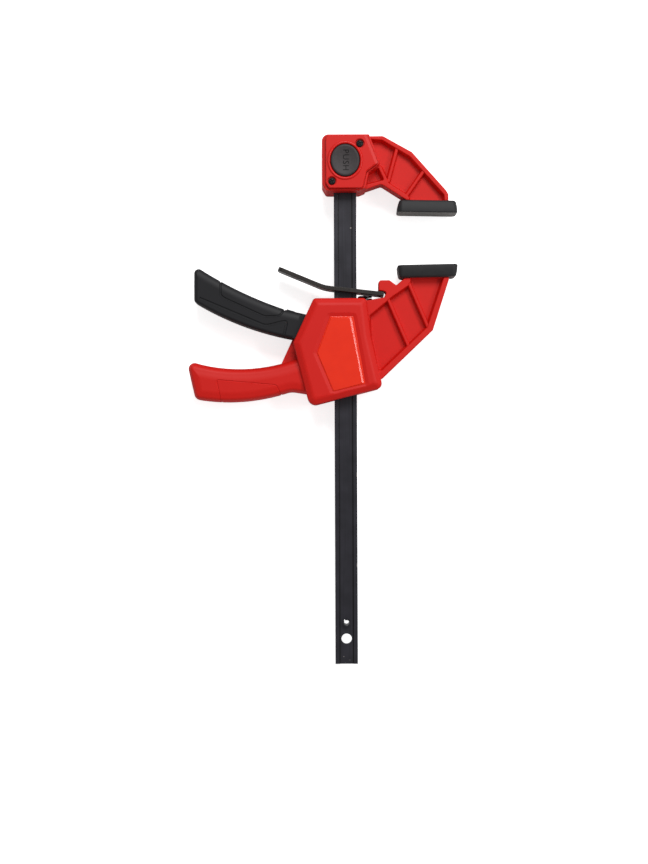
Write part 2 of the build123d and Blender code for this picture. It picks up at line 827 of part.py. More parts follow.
with BuildPart() as trigger:
    with BuildSketch(jaw):
        with BuildLine():
            ThreePointArc(trigger_tip, (-(bar_half + 71.4), -19.4), trigger_knee)
            Line(trigger_knee, cheek_top)
            Line(cheek_top, cheek_low)
            ThreePointArc(cheek_low, (-(bar_half + 66.5), -46.3), trigger_butt)
            Line(trigger_butt, trigger_tip)
        make_face()
        fillet(vertices().group_by(Axis.X)[0], trigger_tip_round)
    extrude(amount=fork_half, both=True)
    rims = edges().filter_by(lambda e: abs(abs(e.center().Z) - fork_half) < 0.1)
    fillet(rims.filter_by(lambda e: e.center().X < -throat - bar_half - 27), trigger_round)
    add(panel_line(jaw, fork_half, panel_line_width, grip_line), mode=Mode.SUBTRACT)
    add(panel_line(jaw, fork_half, grip_line_width, finger_line), mode=Mode.SUBTRACT)
    with BuildSketch(jaw):
        outline(*fork_arms)
        with Locations((pin_x, -trigger_pin_down)):
            Circle(eye_radius)
        with Locations((nose_x, nose_y)):
            Circle(nose_radius)
    extrude(amount=fork_half, both=True)
    with BuildSketch(jaw):
        outline(*fork_gap)
    extrude(amount=fork_gap_half, both=True, mode=Mode.SUBTRACT)
    with BuildSketch(jaw):
        with Locations((pin_x, -trigger_pin_down)):
            Circle(trigger_pin_diameter / 2 + running_clearance)
    extrude(amount=fork_half, both=True, mode=Mode.SUBTRACT)
write(trigger.part, "trigger")


# ---------------------------------------------------------------- drive plates, springs, release lever

for place, name in enumerate(("drive_plate_lower", "drive_plate_upper")):
    plate_foot = plate_top - opening - (2 - place) * plate_thickness
    with BuildPart() as drive_plate:
        with BuildSketch(Plane(origin=(-throat, plate_foot, 0), x_dir=(1, 0, 0), z_dir=(0, 1, 0))):
            RectangleRounded(2 * (bar_half + plate_reach), 2 * (core_half - plate_edge_gap), 2.0)
            Rectangle(
                bar_width + 2 * plate_hole_clearance,
                bar_thickness + 2 * plate_hole_clearance,
                mode=Mode.SUBTRACT,
            )
        extrude(amount=plate_thickness)
    write(drive_plate.part, name)

drive_foot = Plane(origin=(-throat, -opening + spring_floor, 0), x_dir=(1, 0, 0), z_dir=(0, 1, 0))
drive_spring_length = spring_top - spring_floor - 0.1
write(
    coil_spring(drive_foot, drive_wire, drive_spring_inner, drive_spring_length, drive_turns),
    "drive_spring",
)

# release lever: the plane's x runs along the plate from its hinge edge, its y out of the underside
tilt = radians(lever_tilt)
hinge_x = bar_half + 19.0
lever_plane = Plane(
    origin=(-throat + hinge_x, -opening - lever_down, 0), x_dir=(-cos(tilt), sin(tilt), 0), z_dir=(0, 0, 1)
)
bite_shift = lever_thickness / 2 * sin(tilt) + lever_bite_gap
bite_near = (hinge_x - bar_half - bite_shift) / cos(tilt)
bite_far = (hinge_x + bar_half + bite_shift) / cos(tilt)
bend = radians(lever_bend)
lever_end = (lever_flat + lever_finger * cos(bend), -lever_finger * sin(bend))
with BuildPart() as release_lever:
    with BuildSketch(lever_plane):
        with BuildLine():
            FilletPolyline((0, 0), (lever_flat, 0), lever_end, radius=lever_bend_radius)
        trace(line_width=lever_thickness)
        Circle(lever_thickness / 2)
    extrude(amount=lever_half_width, both=True)
    with BuildSketch(Plane(origin=lever_plane.origin, x_dir=lever_plane.x_dir, z_dir=-lever_plane.y_dir)):
        with Locations(((bite_near + bite_far) / 2, 0)):
            Rectangle(bite_far - bite_near, bar_thickness + 2 * plate_hole_clearance)
    extrude(amount=lever_thickness, both=True, mode=Mode.SUBTRACT)
    tip_edges = edges().sort_by(Axis.X)[:6].filter_by(lambda e: abs(e.length - lever_thickness) < 0.1)
    fillet(tip_edges, lever_tip_round)
write(release_lever.part, "release_lever")

spring_edge = brake_spring_x + brake_spring_diameter / 2
lever_under = -lever_down - lever_thickness / 2 / cos(tilt) + (hinge_x - spring_edge) * tan(tilt)
brake_length = lever_under - brake_spring_floor - 0.05
write(
    coil_spring(brake_foot, brake_wire, brake_spring_diameter / 2 - brake_wire, brake_length, brake_turns),
    "brake_spring",
)
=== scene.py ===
"""Looks of a quick release bar clamp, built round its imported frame.

The clamp lies on its back: +Y runs along the bar to the fixed jaw, +X from the bar to the pads and
+Z out of the side with the button. Each sub-assembly is a class that builds its own pieces. Their
outlines are in millimetres from a datum on the bar's axis, level with that jaw's pad face.
"""

import json
import logging
from dataclasses import dataclass
from enum import Enum
from math import acos, atan2, ceil, cos, hypot, pi, radians, sin, tan

import bmesh
import bpy
from mathutils import Matrix, Vector
from mathutils.bvhtree import BVHTree


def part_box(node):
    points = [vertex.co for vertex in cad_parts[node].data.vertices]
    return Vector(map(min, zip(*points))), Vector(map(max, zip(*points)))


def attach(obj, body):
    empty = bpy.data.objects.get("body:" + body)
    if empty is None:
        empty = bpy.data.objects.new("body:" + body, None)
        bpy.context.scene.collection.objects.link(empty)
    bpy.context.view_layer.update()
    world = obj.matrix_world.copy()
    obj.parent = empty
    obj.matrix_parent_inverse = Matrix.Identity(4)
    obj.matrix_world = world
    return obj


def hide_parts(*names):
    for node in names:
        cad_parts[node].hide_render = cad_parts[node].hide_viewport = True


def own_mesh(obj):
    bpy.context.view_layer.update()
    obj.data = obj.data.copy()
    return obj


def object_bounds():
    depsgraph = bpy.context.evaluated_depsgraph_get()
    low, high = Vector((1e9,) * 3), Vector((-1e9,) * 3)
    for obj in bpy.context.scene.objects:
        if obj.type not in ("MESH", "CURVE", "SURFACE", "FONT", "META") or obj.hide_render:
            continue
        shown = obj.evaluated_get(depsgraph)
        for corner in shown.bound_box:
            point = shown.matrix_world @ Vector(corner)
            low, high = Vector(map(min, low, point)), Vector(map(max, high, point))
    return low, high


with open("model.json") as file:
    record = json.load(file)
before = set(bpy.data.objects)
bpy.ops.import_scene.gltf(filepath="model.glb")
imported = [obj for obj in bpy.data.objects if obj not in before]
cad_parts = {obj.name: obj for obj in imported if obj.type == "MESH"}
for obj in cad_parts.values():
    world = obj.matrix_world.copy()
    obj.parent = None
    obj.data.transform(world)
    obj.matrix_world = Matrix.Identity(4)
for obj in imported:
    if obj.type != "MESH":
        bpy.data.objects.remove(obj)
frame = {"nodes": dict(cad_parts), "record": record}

CAD_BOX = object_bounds()
MM = 0.001
WELD = 0.002  # points closer than this are one, in millimetres
SEAM = 0.01  # gap between two pieces that lie on each other
FIT = 0.1  # gap round the bar and round the screws in their ways
OVER = 1.0  # how far a cutter reaches past what it cuts
CHORD = 0.012  # how far a chord may lie off its curve
CHORD_TURN = 0.25  # the most that one chord turns from the next, in radians
LOG = logging.getLogger("clamp")

Point = tuple[float, float]
Profile = list[Point]


# ------------------------------------------------------------------ places read from the frame


def mount_at(name: str) -> Vector:
    """The place of one of the record's mounts, in millimetres.

    Args:
        name: the mount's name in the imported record.

    Returns:
        Its position in the row frame.
    """
    found = next(mount for mount in frame["record"]["mounts"] if mount["name"] == name)
    return Vector(found["pos_m"]) / MM


def box_mm(node: str) -> tuple[Vector, Vector]:
    """The lowest and highest corner of a CAD node, in millimetres."""
    low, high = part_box(node)
    return low / MM, high / MM


BAR_LOW, BAR_HIGH = box_mm("bar")
BAR_X = (BAR_LOW.x + BAR_HIGH.x) / 2  # the bar's axis
BAR_HALF = (BAR_HIGH.x - BAR_LOW.x) / 2  # half its width
SLAB = (BAR_HIGH.z - BAR_LOW.z) / 2  # half its thickness
THROAT = mount_at("fixed_pad_face").x - BAR_X  # from the bar's axis to the middle of the pads
SIDE = -mount_at("back_rest").z  # from the middle plane to the head's and the covers' faces
CORE_HALF = box_mm("front_cover")[0].z  # half the depth of the moving jaw's core
FORK_HALF = box_mm("trigger")[1].z  # half the depth of the trigger


@dataclass(frozen=True)
class Datum:
    """The point that a sub-assembly's outlines are drawn from, in millimetres."""

    x: float
    y: float

    def at(self, x: float, y: float, z: float) -> Vector:
        """A point of the sub-assembly in the row frame, in metres."""
        return Vector((self.x + x, self.y + y, z)) * MM


FIXED = Datum(BAR_X, mount_at("fixed_pad_face").y)
MOVING = Datum(BAR_X, mount_at("moving_pad_face").y)


class Body(Enum):
    """The frame's rigid bodies that the new pieces ride on."""

    BAR = "bar_and_fixed_jaw"
    BUTTON = "lock_button"
    JAW = "moving_jaw"
    TRIGGER = "pump_trigger"
    LEVER = "brake_lever"


class Slot(Enum):
    """The record's material slots."""

    BAR = "bar_steel"
    PLAIN = "plain_steel"
    PLATE = "plate_steel"
    BLACK_STEEL = "black_steel"
    RED = "red_nylon"
    BLACK = "black_nylon"
    GREY = "grey_plastic"
    RUBBER = "pad_rubber"
    LABEL = "label_gloss"


# ------------------------------------------------------------------ materials


def linear(colour: str) -> tuple[float, float, float, float]:
    """Turns an sRGB hex colour into the linear one that shaders use.

    Args:
        colour: six hex digits after a hash.

    Returns:
        Red, green, blue and alpha, each from 0 to 1.
    """
    channels = [int(colour[i : i + 2], 16) / 255 for i in (1, 3, 5)]
    red, green, blue = (c / 12.92 if c <= 0.04045 else ((c + 0.055) / 1.055) ** 2.4 for c in channels)
    return red, green, blue, 1.0


def add_node(
    tree: bpy.types.NodeTree, kind: str, inputs: dict[str, object] | None = None, **settings: object
) -> bpy.types.Node:
    """Adds one node to a material or a world.

    Args:
        tree: the node tree.
        kind: the node's type name.
        inputs: socket names or numbers, each with a value or the output that feeds it.
        settings: the node's own settings.

    Returns:
        The new node.
    """
    node = tree.nodes.new(kind)
    for name, value in settings.items():
        setattr(node, name, value)
    for name, value in (inputs or {}).items():
        if isinstance(value, bpy.types.NodeSocket):
            tree.links.new(value, node.inputs[name])
        else:
            node.inputs[name].default_value = value
    return node


def new_material(name: str) -> tuple[bpy.types.Material, bpy.types.NodeTree, bpy.types.NodeSocket]:
    """Makes an empty node material.

    Args:
        name: the material's name.

    Returns:
        The material, its tree and the coordinates that move with a piece, in metres.
    """
    material = bpy.data.materials.new(name)
    material.use_nodes = True
    tree = material.node_tree
    tree.nodes.clear()
    place = add_node(tree, "ShaderNodeTexCoord").outputs["Object"]
    return material, tree, place


def noise_scale(size_mm: float) -> float:
    """The scale at which a noise pattern's features are size_mm across."""
    return 1 / (size_mm * MM)


@dataclass(frozen=True)
class MouldedNylon:
    """Glass-filled nylon or ABS, injection moulded in a spark-eroded tool.

    The eye gets an even, satin skin: broad soft highlights, a fine grain and a slight clouding.
    """

    name: str
    colour: str
    cloud_colour: str
    roughness: float = 0.42
    gloss: float = 0.22
    grain_mm: float = 0.9  # spark erosion is about 0.1 mm, drawn coarser so that it shows
    grain_depth_mm: float = 0.006
    cloud_mm: float = 22.0

    def build(self) -> bpy.types.Material:
        """Makes the node material.

        Returns:
            The material.
        """
        material, tree, place = new_material(self.name)
        cloud = add_node(tree, "ShaderNodeTexNoise", {"Vector": place, "Scale": noise_scale(self.cloud_mm)})
        mix = add_node(
            tree,
            "ShaderNodeMix",
            {"Factor": cloud.outputs["Fac"], 6: linear(self.colour), 7: linear(self.cloud_colour)},
            data_type="RGBA",
        )
        grain = add_node(
            tree,
            "ShaderNodeTexNoise",
            {"Vector": place, "Scale": noise_scale(self.grain_mm), "Detail": 3.0, "Roughness": 0.6},
        )
        bump = add_node(
            tree,
            "ShaderNodeBump",
            {"Height": grain.outputs["Fac"], "Distance": self.grain_depth_mm * MM, "Strength": 1.0},
        )
        sheen = add_node(
            tree,
            "ShaderNodeMapRange",
            {"Value": cloud.outputs["Fac"], "To Min": self.roughness - 0.04, "To Max": self.roughness + 0.04},
        )
        shader = add_node(
            tree,
            "ShaderNodeBsdfPrincipled",
            {
                "Base Color": mix.outputs[2],
                "Roughness": sheen.outputs["Result"],
                "IOR": 1.5,
                "Specular IOR Level": self.gloss,
                "Normal": bump.outputs["Normal"],
            },
        )
        add_node(tree, "ShaderNodeOutputMaterial", {"Surface": shader.outputs[0]})
        return material


@dataclass(frozen=True)
class LabelFilm:
    """Back-printed polycarbonate film, die cut: a deep even colour under a clear glossy face."""

    name: str
    colour: str
    edge_colour: str
    ripple_mm: float = 9.0
    ripple_depth_mm: float = 0.03

    def build(self) -> bpy.types.Material:
        """Makes the node material.

        Returns:
            The material.
        """
        material, tree, place = new_material(self.name)
        ripple = add_node(tree, "ShaderNodeTexNoise", {"Vector": place, "Scale": noise_scale(self.ripple_mm)})
        mix = add_node(
            tree,
            "ShaderNodeMix",
            {"Factor": ripple.outputs["Fac"], 6: linear(self.colour), 7: linear(self.edge_colour)},
            data_type="RGBA",
        )
        bump = add_node(
            tree,
            "ShaderNodeBump",
            {"Height": ripple.outputs["Fac"], "Distance": self.ripple_depth_mm * MM, "Strength": 0.6},
        )
        shader = add_node(
            tree,
            "ShaderNodeBsdfPrincipled",
            {
                "Base Color": mix.outputs[2],
                "Roughness": 0.3,
                "IOR": 1.58,
                "Specular IOR Level": 0.2,
                "Coat Weight": 0.3,
                "Coat Roughness": 0.11,
                "Normal": bump.outputs["Normal"],
            },
        )
        add_node(tree, "ShaderNodeOutputMaterial", {"Surface": shader.outputs[0]})
        return material


@dataclass(frozen=True)
class SoftRubber:
    """Thermoplastic rubber, moulded: dull, with a soft sheen on its rounded rims and a little dust."""

    name: str
    colour: str
    dust_colour: str
    dust_mm: float = 5.0
    grain_mm: float = 0.8  # its skin's grain is about 0.15 mm, drawn coarser so that it shows
    grain_depth_mm: float = 0.02

    def build(self) -> bpy.types.Material:
        """Makes the node material.

        Returns:
            The material.
        """
        material, tree, place = new_material(self.name)
        dust = add_node(
            tree,
            "ShaderNodeTexNoise",
            {"Vector": place, "Scale": noise_scale(self.dust_mm), "Detail": 6.0, "Roughness": 0.65},
        )
        mask = add_node(
            tree,
            "ShaderNodeMapRange",
            {"Value": dust.outputs["Fac"], "From Min": 0.45, "From Max": 0.8, "To Max": 0.5},
        )
        mix = add_node(
            tree,
            "ShaderNodeMix",
            {"Factor": mask.outputs["Result"], 6: linear(self.colour), 7: linear(self.dust_colour)},
            data_type="RGBA",
        )
        grain = add_node(
            tree, "ShaderNodeTexNoise", {"Vector": place, "Scale": noise_scale(self.grain_mm), "Detail": 2.0}
        )
        bump = add_node(
            tree,
            "ShaderNodeBump",
            {"Height": grain.outputs["Fac"], "Distance": self.grain_depth_mm * MM, "Strength": 0.8},
        )
        shader = add_node(
            tree,
            "ShaderNodeBsdfPrincipled",
            {
                "Base Color": mix.outputs[2],
                "Roughness": 0.56,
                "IOR": 1.5,
                "Specular IOR Level": 0.32,
                "Sheen Weight": 0.05,
                "Sheen Roughness": 0.5,
                "Normal": bump.outputs["Normal"],
            },
        )
        add_node(tree, "ShaderNodeOutputMaterial", {"Surface": shader.outputs[0]})
        return material


@dataclass(frozen=True)
class LetterShade:
    """A near-black fill in an engraving's hollows, painted shade: even and matt, it gives back hardly any
    light.
    """

    name: str
    colour: str
    mottle_colour: str
    mottle_mm: float = 1.5

    def build(self) -> bpy.types.Material:
        """Makes the node material.

        Returns:
            The material.
        """
        material, tree, place = new_material(self.name)
        mottle = add_node(
            tree, "ShaderNodeTexNoise", {"Vector": place, "Scale": noise_scale(self.mottle_mm), "Detail": 3.0}
        )
        mix = add_node(
            tree,
            "ShaderNodeMix",
            {"Factor": mottle.outputs["Fac"], 6: linear(self.colour), 7: linear(self.mottle_colour)},
            data_type="RGBA",
        )
        shader = add_node(
            tree,
            "ShaderNodeBsdfPrincipled",
            {"Base Color": mix.outputs[2], "Roughness": 0.7, "IOR": 1.5, "Specular IOR Level": 0.2},
        )
        add_node(tree, "ShaderNodeOutputMaterial", {"Surface": shader.outputs[0]})
        return material


@dataclass(frozen=True)
class Scuff:
    """A worn spot on the bar's front face: its centre and its reach three ways, in millimetres."""

    x: float
    y: float
    across: float
    along: float
    down: float = 1.3


@dataclass(frozen=True)
class BlackedSteel:
    """Cold-rolled steel, blackened in a hot salt bath and oiled.

    The eye gets a near-black satin face with fine rolling lines along it, a few spots where the
    black is gone, and painted shade, a dark line, in both corners of the bar's groove.
    """

    name: str
    colour: str
    line_colour: str
    bare_colour: str
    roughness: float = 0.4
    line_mm: float = 0.8  # rolling lines are about 0.2 mm apart, drawn coarser so that they show
    line_length_mm: float = 60.0
    line_depth_mm: float = 0.01
    cloud_mm: float = 14.0
    ragged_mm: float = 1.6
    scuffs: tuple[Scuff, ...] = ()
    groove_shade_mm: float = 0.0  # distance of the groove's corners from the bar's axis, painted shade there

    def spot(
        self,
        tree: bpy.types.NodeTree,
        place: bpy.types.NodeSocket,
        scuff: Scuff,
        ragged: bpy.types.NodeSocket,
    ) -> bpy.types.NodeSocket:
        """One worn spot.

        Args:
            tree: the material's tree.
            place: coordinates in metres.
            scuff: where it is and how large.
            ragged: a noise that tears its edge.

        Returns:
            A mask, 1 inside the spot.
        """
        moved = add_node(
            tree,
            "ShaderNodeMapping",
            {
                "Vector": place,
                "Location": (-scuff.x / scuff.across, -scuff.y / scuff.along, -SLAB / scuff.down),
                "Scale": (1 / (scuff.across * MM), 1 / (scuff.along * MM), 1 / (scuff.down * MM)),
            },
        )
        reach = add_node(tree, "ShaderNodeVectorMath", {0: moved.outputs[0]}, operation="LENGTH")
        torn = add_node(tree, "ShaderNodeMath", {0: reach.outputs["Value"], 1: ragged}, operation="ADD")
        mask = add_node(
            tree,
            "ShaderNodeMapRange",
            {"Value": torn.outputs[0], "From Min": 1.35, "From Max": 1.6, "To Min": 1.0, "To Max": 0.0},
        )
        return mask.outputs["Result"]

    def groove_shade(self, tree: bpy.types.NodeTree, place: bpy.types.NodeSocket) -> bpy.types.NodeSocket:
        """Painted shade: a dark line in both corners of the rolled groove.

        Args:
            tree: the material's tree.
            place: coordinates in metres.

        Returns:
            A mask, 1 in the corners.
        """
        value = add_node(tree, "ShaderNodeSeparateXYZ", {"Vector": place}).outputs["X"]
        for distance in (BAR_X, self.groove_shade_mm):
            shifted = add_node(tree, "ShaderNodeMath", {0: value, 1: distance * MM}, operation="SUBTRACT")
            value = add_node(tree, "ShaderNodeMath", {0: shifted.outputs[0]}, operation="ABSOLUTE").outputs[0]
        mask = add_node(
            tree,
            "ShaderNodeMapRange",
            {"Value": value, "From Min": 0.2 * MM, "From Max": 0.75 * MM, "To Min": 0.85, "To Max": 0.0},
        )
        return mask.outputs["Result"]

    def build(self) -> bpy.types.Material:
        """Makes the node material.

        Returns:
            The material.
        """
        material, tree, place = new_material(self.name)
        stretched = add_node(
            tree,
            "ShaderNodeMapping",
            {"Vector": place, "Scale": (1.0, self.line_mm / self.line_length_mm, 1.0)},
        )
        lines = add_node(
            tree,
            "ShaderNodeTexNoise",
            {"Vector": stretched.outputs[0], "Scale": noise_scale(self.line_mm), "Detail": 4.0},
        )
        cloud = add_node(
            tree, "ShaderNodeTexNoise", {"Vector": place, "Scale": noise_scale(self.cloud_mm), "Detail": 4.0}
        )
        streaks = add_node(
            tree,
            "ShaderNodeMath",
            {0: lines.outputs["Fac"], 1: cloud.outputs["Fac"]},
            operation="MULTIPLY",
        )
        shade = add_node(
            tree,
            "ShaderNodeMapRange",
            {"Value": streaks.outputs[0], "From Min": 0.12, "From Max": 0.45},
        )
        colour = add_node(
            tree,
            "ShaderNodeMix",
            {"Factor": shade.outputs["Result"], 6: linear(self.colour), 7: linear(self.line_colour)},
            data_type="RGBA",
        ).outputs[2]
        # painted shade: darkens both corners of the bar's groove towards near-black
        if self.groove_shade_mm:
            colour = add_node(
                tree,
                "ShaderNodeMix",
                {"Factor": self.groove_shade(tree, place), 6: colour, 7: linear("#0B0A0A")},
                data_type="RGBA",
            ).outputs[2]
        ragged = add_node(
            tree, "ShaderNodeTexNoise", {"Vector": place, "Scale": noise_scale(self.ragged_mm), "Detail": 3.0}
        ).outputs["Fac"]
        for scuff in self.scuffs:
            colour = add_node(
                tree,
                "ShaderNodeMix",
                {"Factor": self.spot(tree, place, scuff, ragged), 6: colour, 7: linear(self.bare_colour)},
                data_type="RGBA",
            ).outputs[2]
        bump = add_node(
            tree,
            "ShaderNodeBump",
            {"Height": lines.outputs["Fac"], "Distance": self.line_depth_mm * MM, "Strength": 0.7},
        )
        gloss = add_node(
            tree,
            "ShaderNodeMapRange",
            {
                "Value": cloud.outputs["Fac"],
                "To Min": self.roughness - 0.08,
                "To Max": self.roughness + 0.08,
            },
        )
        shader = add_node(
            tree,
            "ShaderNodeBsdfPrincipled",
            {
                "Base Color": colour,
                "Metallic": 0.35,
                "Roughness": gloss.outputs["Result"],
                "Normal": bump.outputs["Normal"],
            },
        )
        add_node(tree, "ShaderNodeOutputMaterial", {"Surface": shader.outputs[0]})
        return material


@dataclass(frozen=True)
class PlainSteel:
    """Steel wire or plate, ground or zinc plated: bright, faintly wavy, with dull patches."""

    name: str
    colour: str
    dull_colour: str
    roughness: float = 0.32
    cloud_mm: float = 3.0
    wave_depth_mm: float = 0.01

    def build(self) -> bpy.types.Material:
        """Makes the node material.

        Returns:
            The material.
        """
        material, tree, place = new_material(self.name)
        cloud = add_node(
            tree, "ShaderNodeTexNoise", {"Vector": place, "Scale": noise_scale(self.cloud_mm), "Detail": 5.0}
        )
        mix = add_node(
            tree,
            "ShaderNodeMix",
            {"Factor": cloud.outputs["Fac"], 6: linear(self.colour), 7: linear(self.dull_colour)},
            data_type="RGBA",
        )
        gloss = add_node(
            tree,
            "ShaderNodeMapRange",
            {
                "Value": cloud.outputs["Fac"],
                "To Min": self.roughness - 0.1,
                "To Max": self.roughness + 0.12,
            },
        )
        bump = add_node(
            tree,
            "ShaderNodeBump",
            {"Height": cloud.outputs["Fac"], "Distance": self.wave_depth_mm * MM, "Strength": 0.5},
        )
        shader = add_node(
            tree,
            "ShaderNodeBsdfPrincipled",
            {
                "Base Color": mix.outputs[2],
                "Metallic": 1.0,
                "Roughness": gloss.outputs["Result"],
                "Normal": bump.outputs["Normal"],
            },
        )
        add_node(tree, "ShaderNodeOutputMaterial", {"Surface": shader.outputs[0]})
        return material


@dataclass(frozen=True)
class Finishes:
    """The clamp's materials, each made once."""

    red: bpy.types.Material
    head_red: bpy.types.Material
    label: bpy.types.Material
    black: bpy.types.Material
    grey: bpy.types.Material
    paint: bpy.types.Material
    rubber: bpy.types.Material
    pad_face: bpy.types.Material
    bar: bpy.types.Material
    lever: bpy.types.Material
    plate: bpy.types.Material
    spring: bpy.types.Material
    screw: bpy.types.Material


BAR_SCUFFS = (
    Scuff(-57.8, -10.4, 0.8, 0.7),
    Scuff(-64.2, -335.5, 0.5, 0.4),
    Scuff(-59.6, -338.2, 0.6, 0.3),
    Scuff(-53.7, -197.7, 0.4, 1.8),
    Scuff(-53.7, -266.0, 0.4, 1.6),
)


def make_finishes() -> Finishes:
    """Makes every material of the clamp.

    Returns:
        The materials by what they are for.
    """
    return Finishes(
        red=MouldedNylon("moulded_red_nylon", "#D4180F", "#CC150D", roughness=0.5, gloss=0.26).build(),
        head_red=MouldedNylon("polished_red_nylon", "#D3170F", "#CD140D", roughness=0.34, gloss=0.3).build(),
        label=LabelFilm("orange_label_film", "#F03010", "#E4290E").build(),
        black=MouldedNylon("moulded_black_nylon", "#1C1C1E", "#222225", roughness=0.5).build(),
        grey=MouldedNylon(
            "moulded_grey_abs", "#353132", "#464142", roughness=0.5, grain_mm=1.2, cloud_mm=1.6
        ).build(),
        # painted shade in the button's engraved letters
        paint=LetterShade("painted_letter_shade", "#030303", "#0A0909").build(),
        rubber=SoftRubber("moulded_pad_rubber", "#1F1F21", "#2A2A2B").build(),
        pad_face=SoftRubber("rubbed_pad_rubber", "#5C5855", "#736E69").build(),
        bar=BlackedSteel(
            "blackened_bar_steel",
            "#25242A",
            "#33323A",
            "#9A948F",
            roughness=0.37,
            scuffs=BAR_SCUFFS,
            # painted shade in the corners of the bar's groove, this far from its axis
            groove_shade_mm=5.1,
        ).build(),
        lever=BlackedSteel(
            "blackened_lever_steel", "#282523", "#373330", "#8A8480", roughness=0.36, line_length_mm=6.0
        ).build(),
        plate=PlainSteel("ground_plate_steel", "#8C8C8E", "#77787B").build(),
        spring=PlainSteel("spring_wire_steel", "#5A5A5E", "#4A4A4D", roughness=0.3).build(),
        screw=BlackedSteel(
            "blackened_screw_steel", "#0C0B0B", "#141212", "#8A8480", roughness=0.52, line_length_mm=0.8
        ).build(),
    )


# ------------------------------------------------------------------ outlines and shells


def arc(start: Point, via: Point, end: Point, steps: int = 14) -> list[tuple[float, float, float]]:
    """Points of the circle through three points, without its ends, as plain corners.

    Args:
        start: where the arc starts.
        via: a point that it passes.
        end: where it ends.
        steps: how many chords it is drawn with.

    Returns:
        Corners with no rounding of their own.
    """
    (ax, ay), (bx, by), (cx, cy) = start, via, end
    spread = 2 * (ax * (by - cy) + bx * (cy - ay) + cx * (ay - by))
    sa, sb, sc = ax * ax + ay * ay, bx * bx + by * by, cx * cx + cy * cy
    ox = (sa * (by - cy) + sb * (cy - ay) + sc * (ay - by)) / spread
    oy = (sa * (cx - bx) + sb * (ax - cx) + sc * (bx - ax)) / spread
    radius = hypot(ax - ox, ay - oy)
    first = atan2(ay - oy, ax - ox)
    sweep = (atan2(cy - oy, cx - ox) - first + pi) % (2 * pi) - pi
    angles = [first + sweep * i / steps for i in range(1, steps)]
    return [(ox + radius * cos(a), oy + radius * sin(a), 0.0) for a in angles]


@dataclass(frozen=True)
class Outline:
    """A closed outline, anticlockwise, in millimetres.

    Attributes:
        corners: x, y and rounding radius of each corner. A corner with no radius stays one point.
        shares: how much of an inset each side takes, the side after each corner. Empty means all.
        steps: chords of each rounded corner. 0 means as many as its size asks for.
        least: the smallest radius that an inset leaves on a rounded corner.
    """

    corners: tuple[tuple[float, float, float], ...]
    shares: tuple[float, ...] = ()
    steps: int = 0
    least: float = 0.08

    def ring(self, inset: float = 0.0) -> list[Point]:
        """The outline moved inwards, with as many points whatever the inset.

        Args:
            inset: how far each side moves in, before its share. Below 0 it moves out.

        Returns:
            The ring's points.
        """
        count = len(self.corners)
        shares = self.shares or (1.0,) * count
        spots = [Vector(corner[:2]) for corner in self.corners]
        runs = [(spots[(i + 1) % count] - spots[i]).normalized() for i in range(count)]
        inward = [Vector((-run.y, run.x)) for run in runs]
        points: list[Point] = []
        for i in range(count):
            before, after = runs[i - 1], runs[i]
            start = spots[i] + inward[i - 1] * inset * shares[i - 1]
            other = spots[i] + inward[i] * inset * shares[i]
            crossing = before.x * after.y - before.y * after.x
            turned = atan2(crossing, before.dot(after))
            corner = other
            if abs(crossing) > 1e-5:
                gap = other - start
                corner = start + before * ((gap.x * after.y - gap.y * after.x) / crossing)
            radius = self.corners[i][2]
            if not radius:
                points.append((corner.x, corner.y))
                continue
            side = 1 if turned > 0 else -1
            fine = min(CHORD_TURN, 2 * acos(1 - CHORD / max(radius, 0.2)))
            steps = self.steps or max(2, ceil(abs(turned) / fine))
            radius = max(radius - side * inset * (shares[i - 1] + shares[i]) / 2, self.least)
            centre = corner - before * radius * tan(abs(turned) / 2) + inward[i - 1] * radius * side
            spoke = -inward[i - 1] * radius * side
            for step in range(steps + 1):
                angle = turned * step / steps
                points.append(
                    (
                        centre.x + spoke.x * cos(angle) - spoke.y * sin(angle),
                        centre.y + spoke.x * sin(angle) + spoke.y * cos(angle),
                    )
                )
        return points


def circle(x: float, y: float, radius: float, sides: int = 40) -> Outline:
    """A round outline."""
    angles = [2 * pi * i / sides for i in range(sides)]
    return Outline(tuple((x + radius * cos(a), y + radius * sin(a), 0.0) for a in angles))


def oval(x: float, y: float, width: float, height: float, sides: int = 72) -> Outline:
    """An elliptic outline."""
    angles = [2 * pi * (i + 0.5) / sides for i in range(sides)]
    return Outline(tuple((x + width / 2 * cos(a), y + height / 2 * sin(a), 0.0) for a in angles))


def block(x0: float, x1: float, y0: float, y1: float, radius: float = 0.0) -> Outline:
    """A rectangular outline with its corners rounded."""
    return Outline(((x0, y0, radius), (x1, y0, radius), (x1, y1, radius), (x0, y1, radius)))


def strip(start: Point | Vector, end: Point | Vector, width: float, radius: float = 0.0) -> Outline:
    """A rectangular outline along a line, with its corners rounded.

    Args:
        start: one end of its middle line.
        end: the other end.
        width: its width across that line.
        radius: radius of its corners.

    Returns:
        The outline.
    """
    first, last = Vector(start), Vector(end)
    run = (last - first).normalized()
    across = Vector((-run.y, run.x)) * width / 2
    ends = (first - across, last - across, last + across, first + across)
    return Outline(tuple((spot.x, spot.y, radius) for spot in ends))


def bend(start: Point, end: Point, wall_first: bool, steps: int = 5) -> Profile:
    """A quarter round of a profile, from one (inset, height) to another, its start left out.

    Args:
        start: where the curve starts.
        end: where it ends.
        wall_first: True where it leaves along the height, False where it leaves along the inset.
        steps: how many chords it is drawn with.

    Returns:
        The curve's points.
    """
    curve = []
    for step in range(1, steps + 1):
        quick, slow = sin(pi / 2 * step / steps), 1 - cos(pi / 2 * step / steps)
        across, up = (slow, quick) if wall_first else (quick, slow)
        curve.append((start[0] + (end[0] - start[0]) * across, start[1] + (end[1] - start[1]) * up))
    return curve


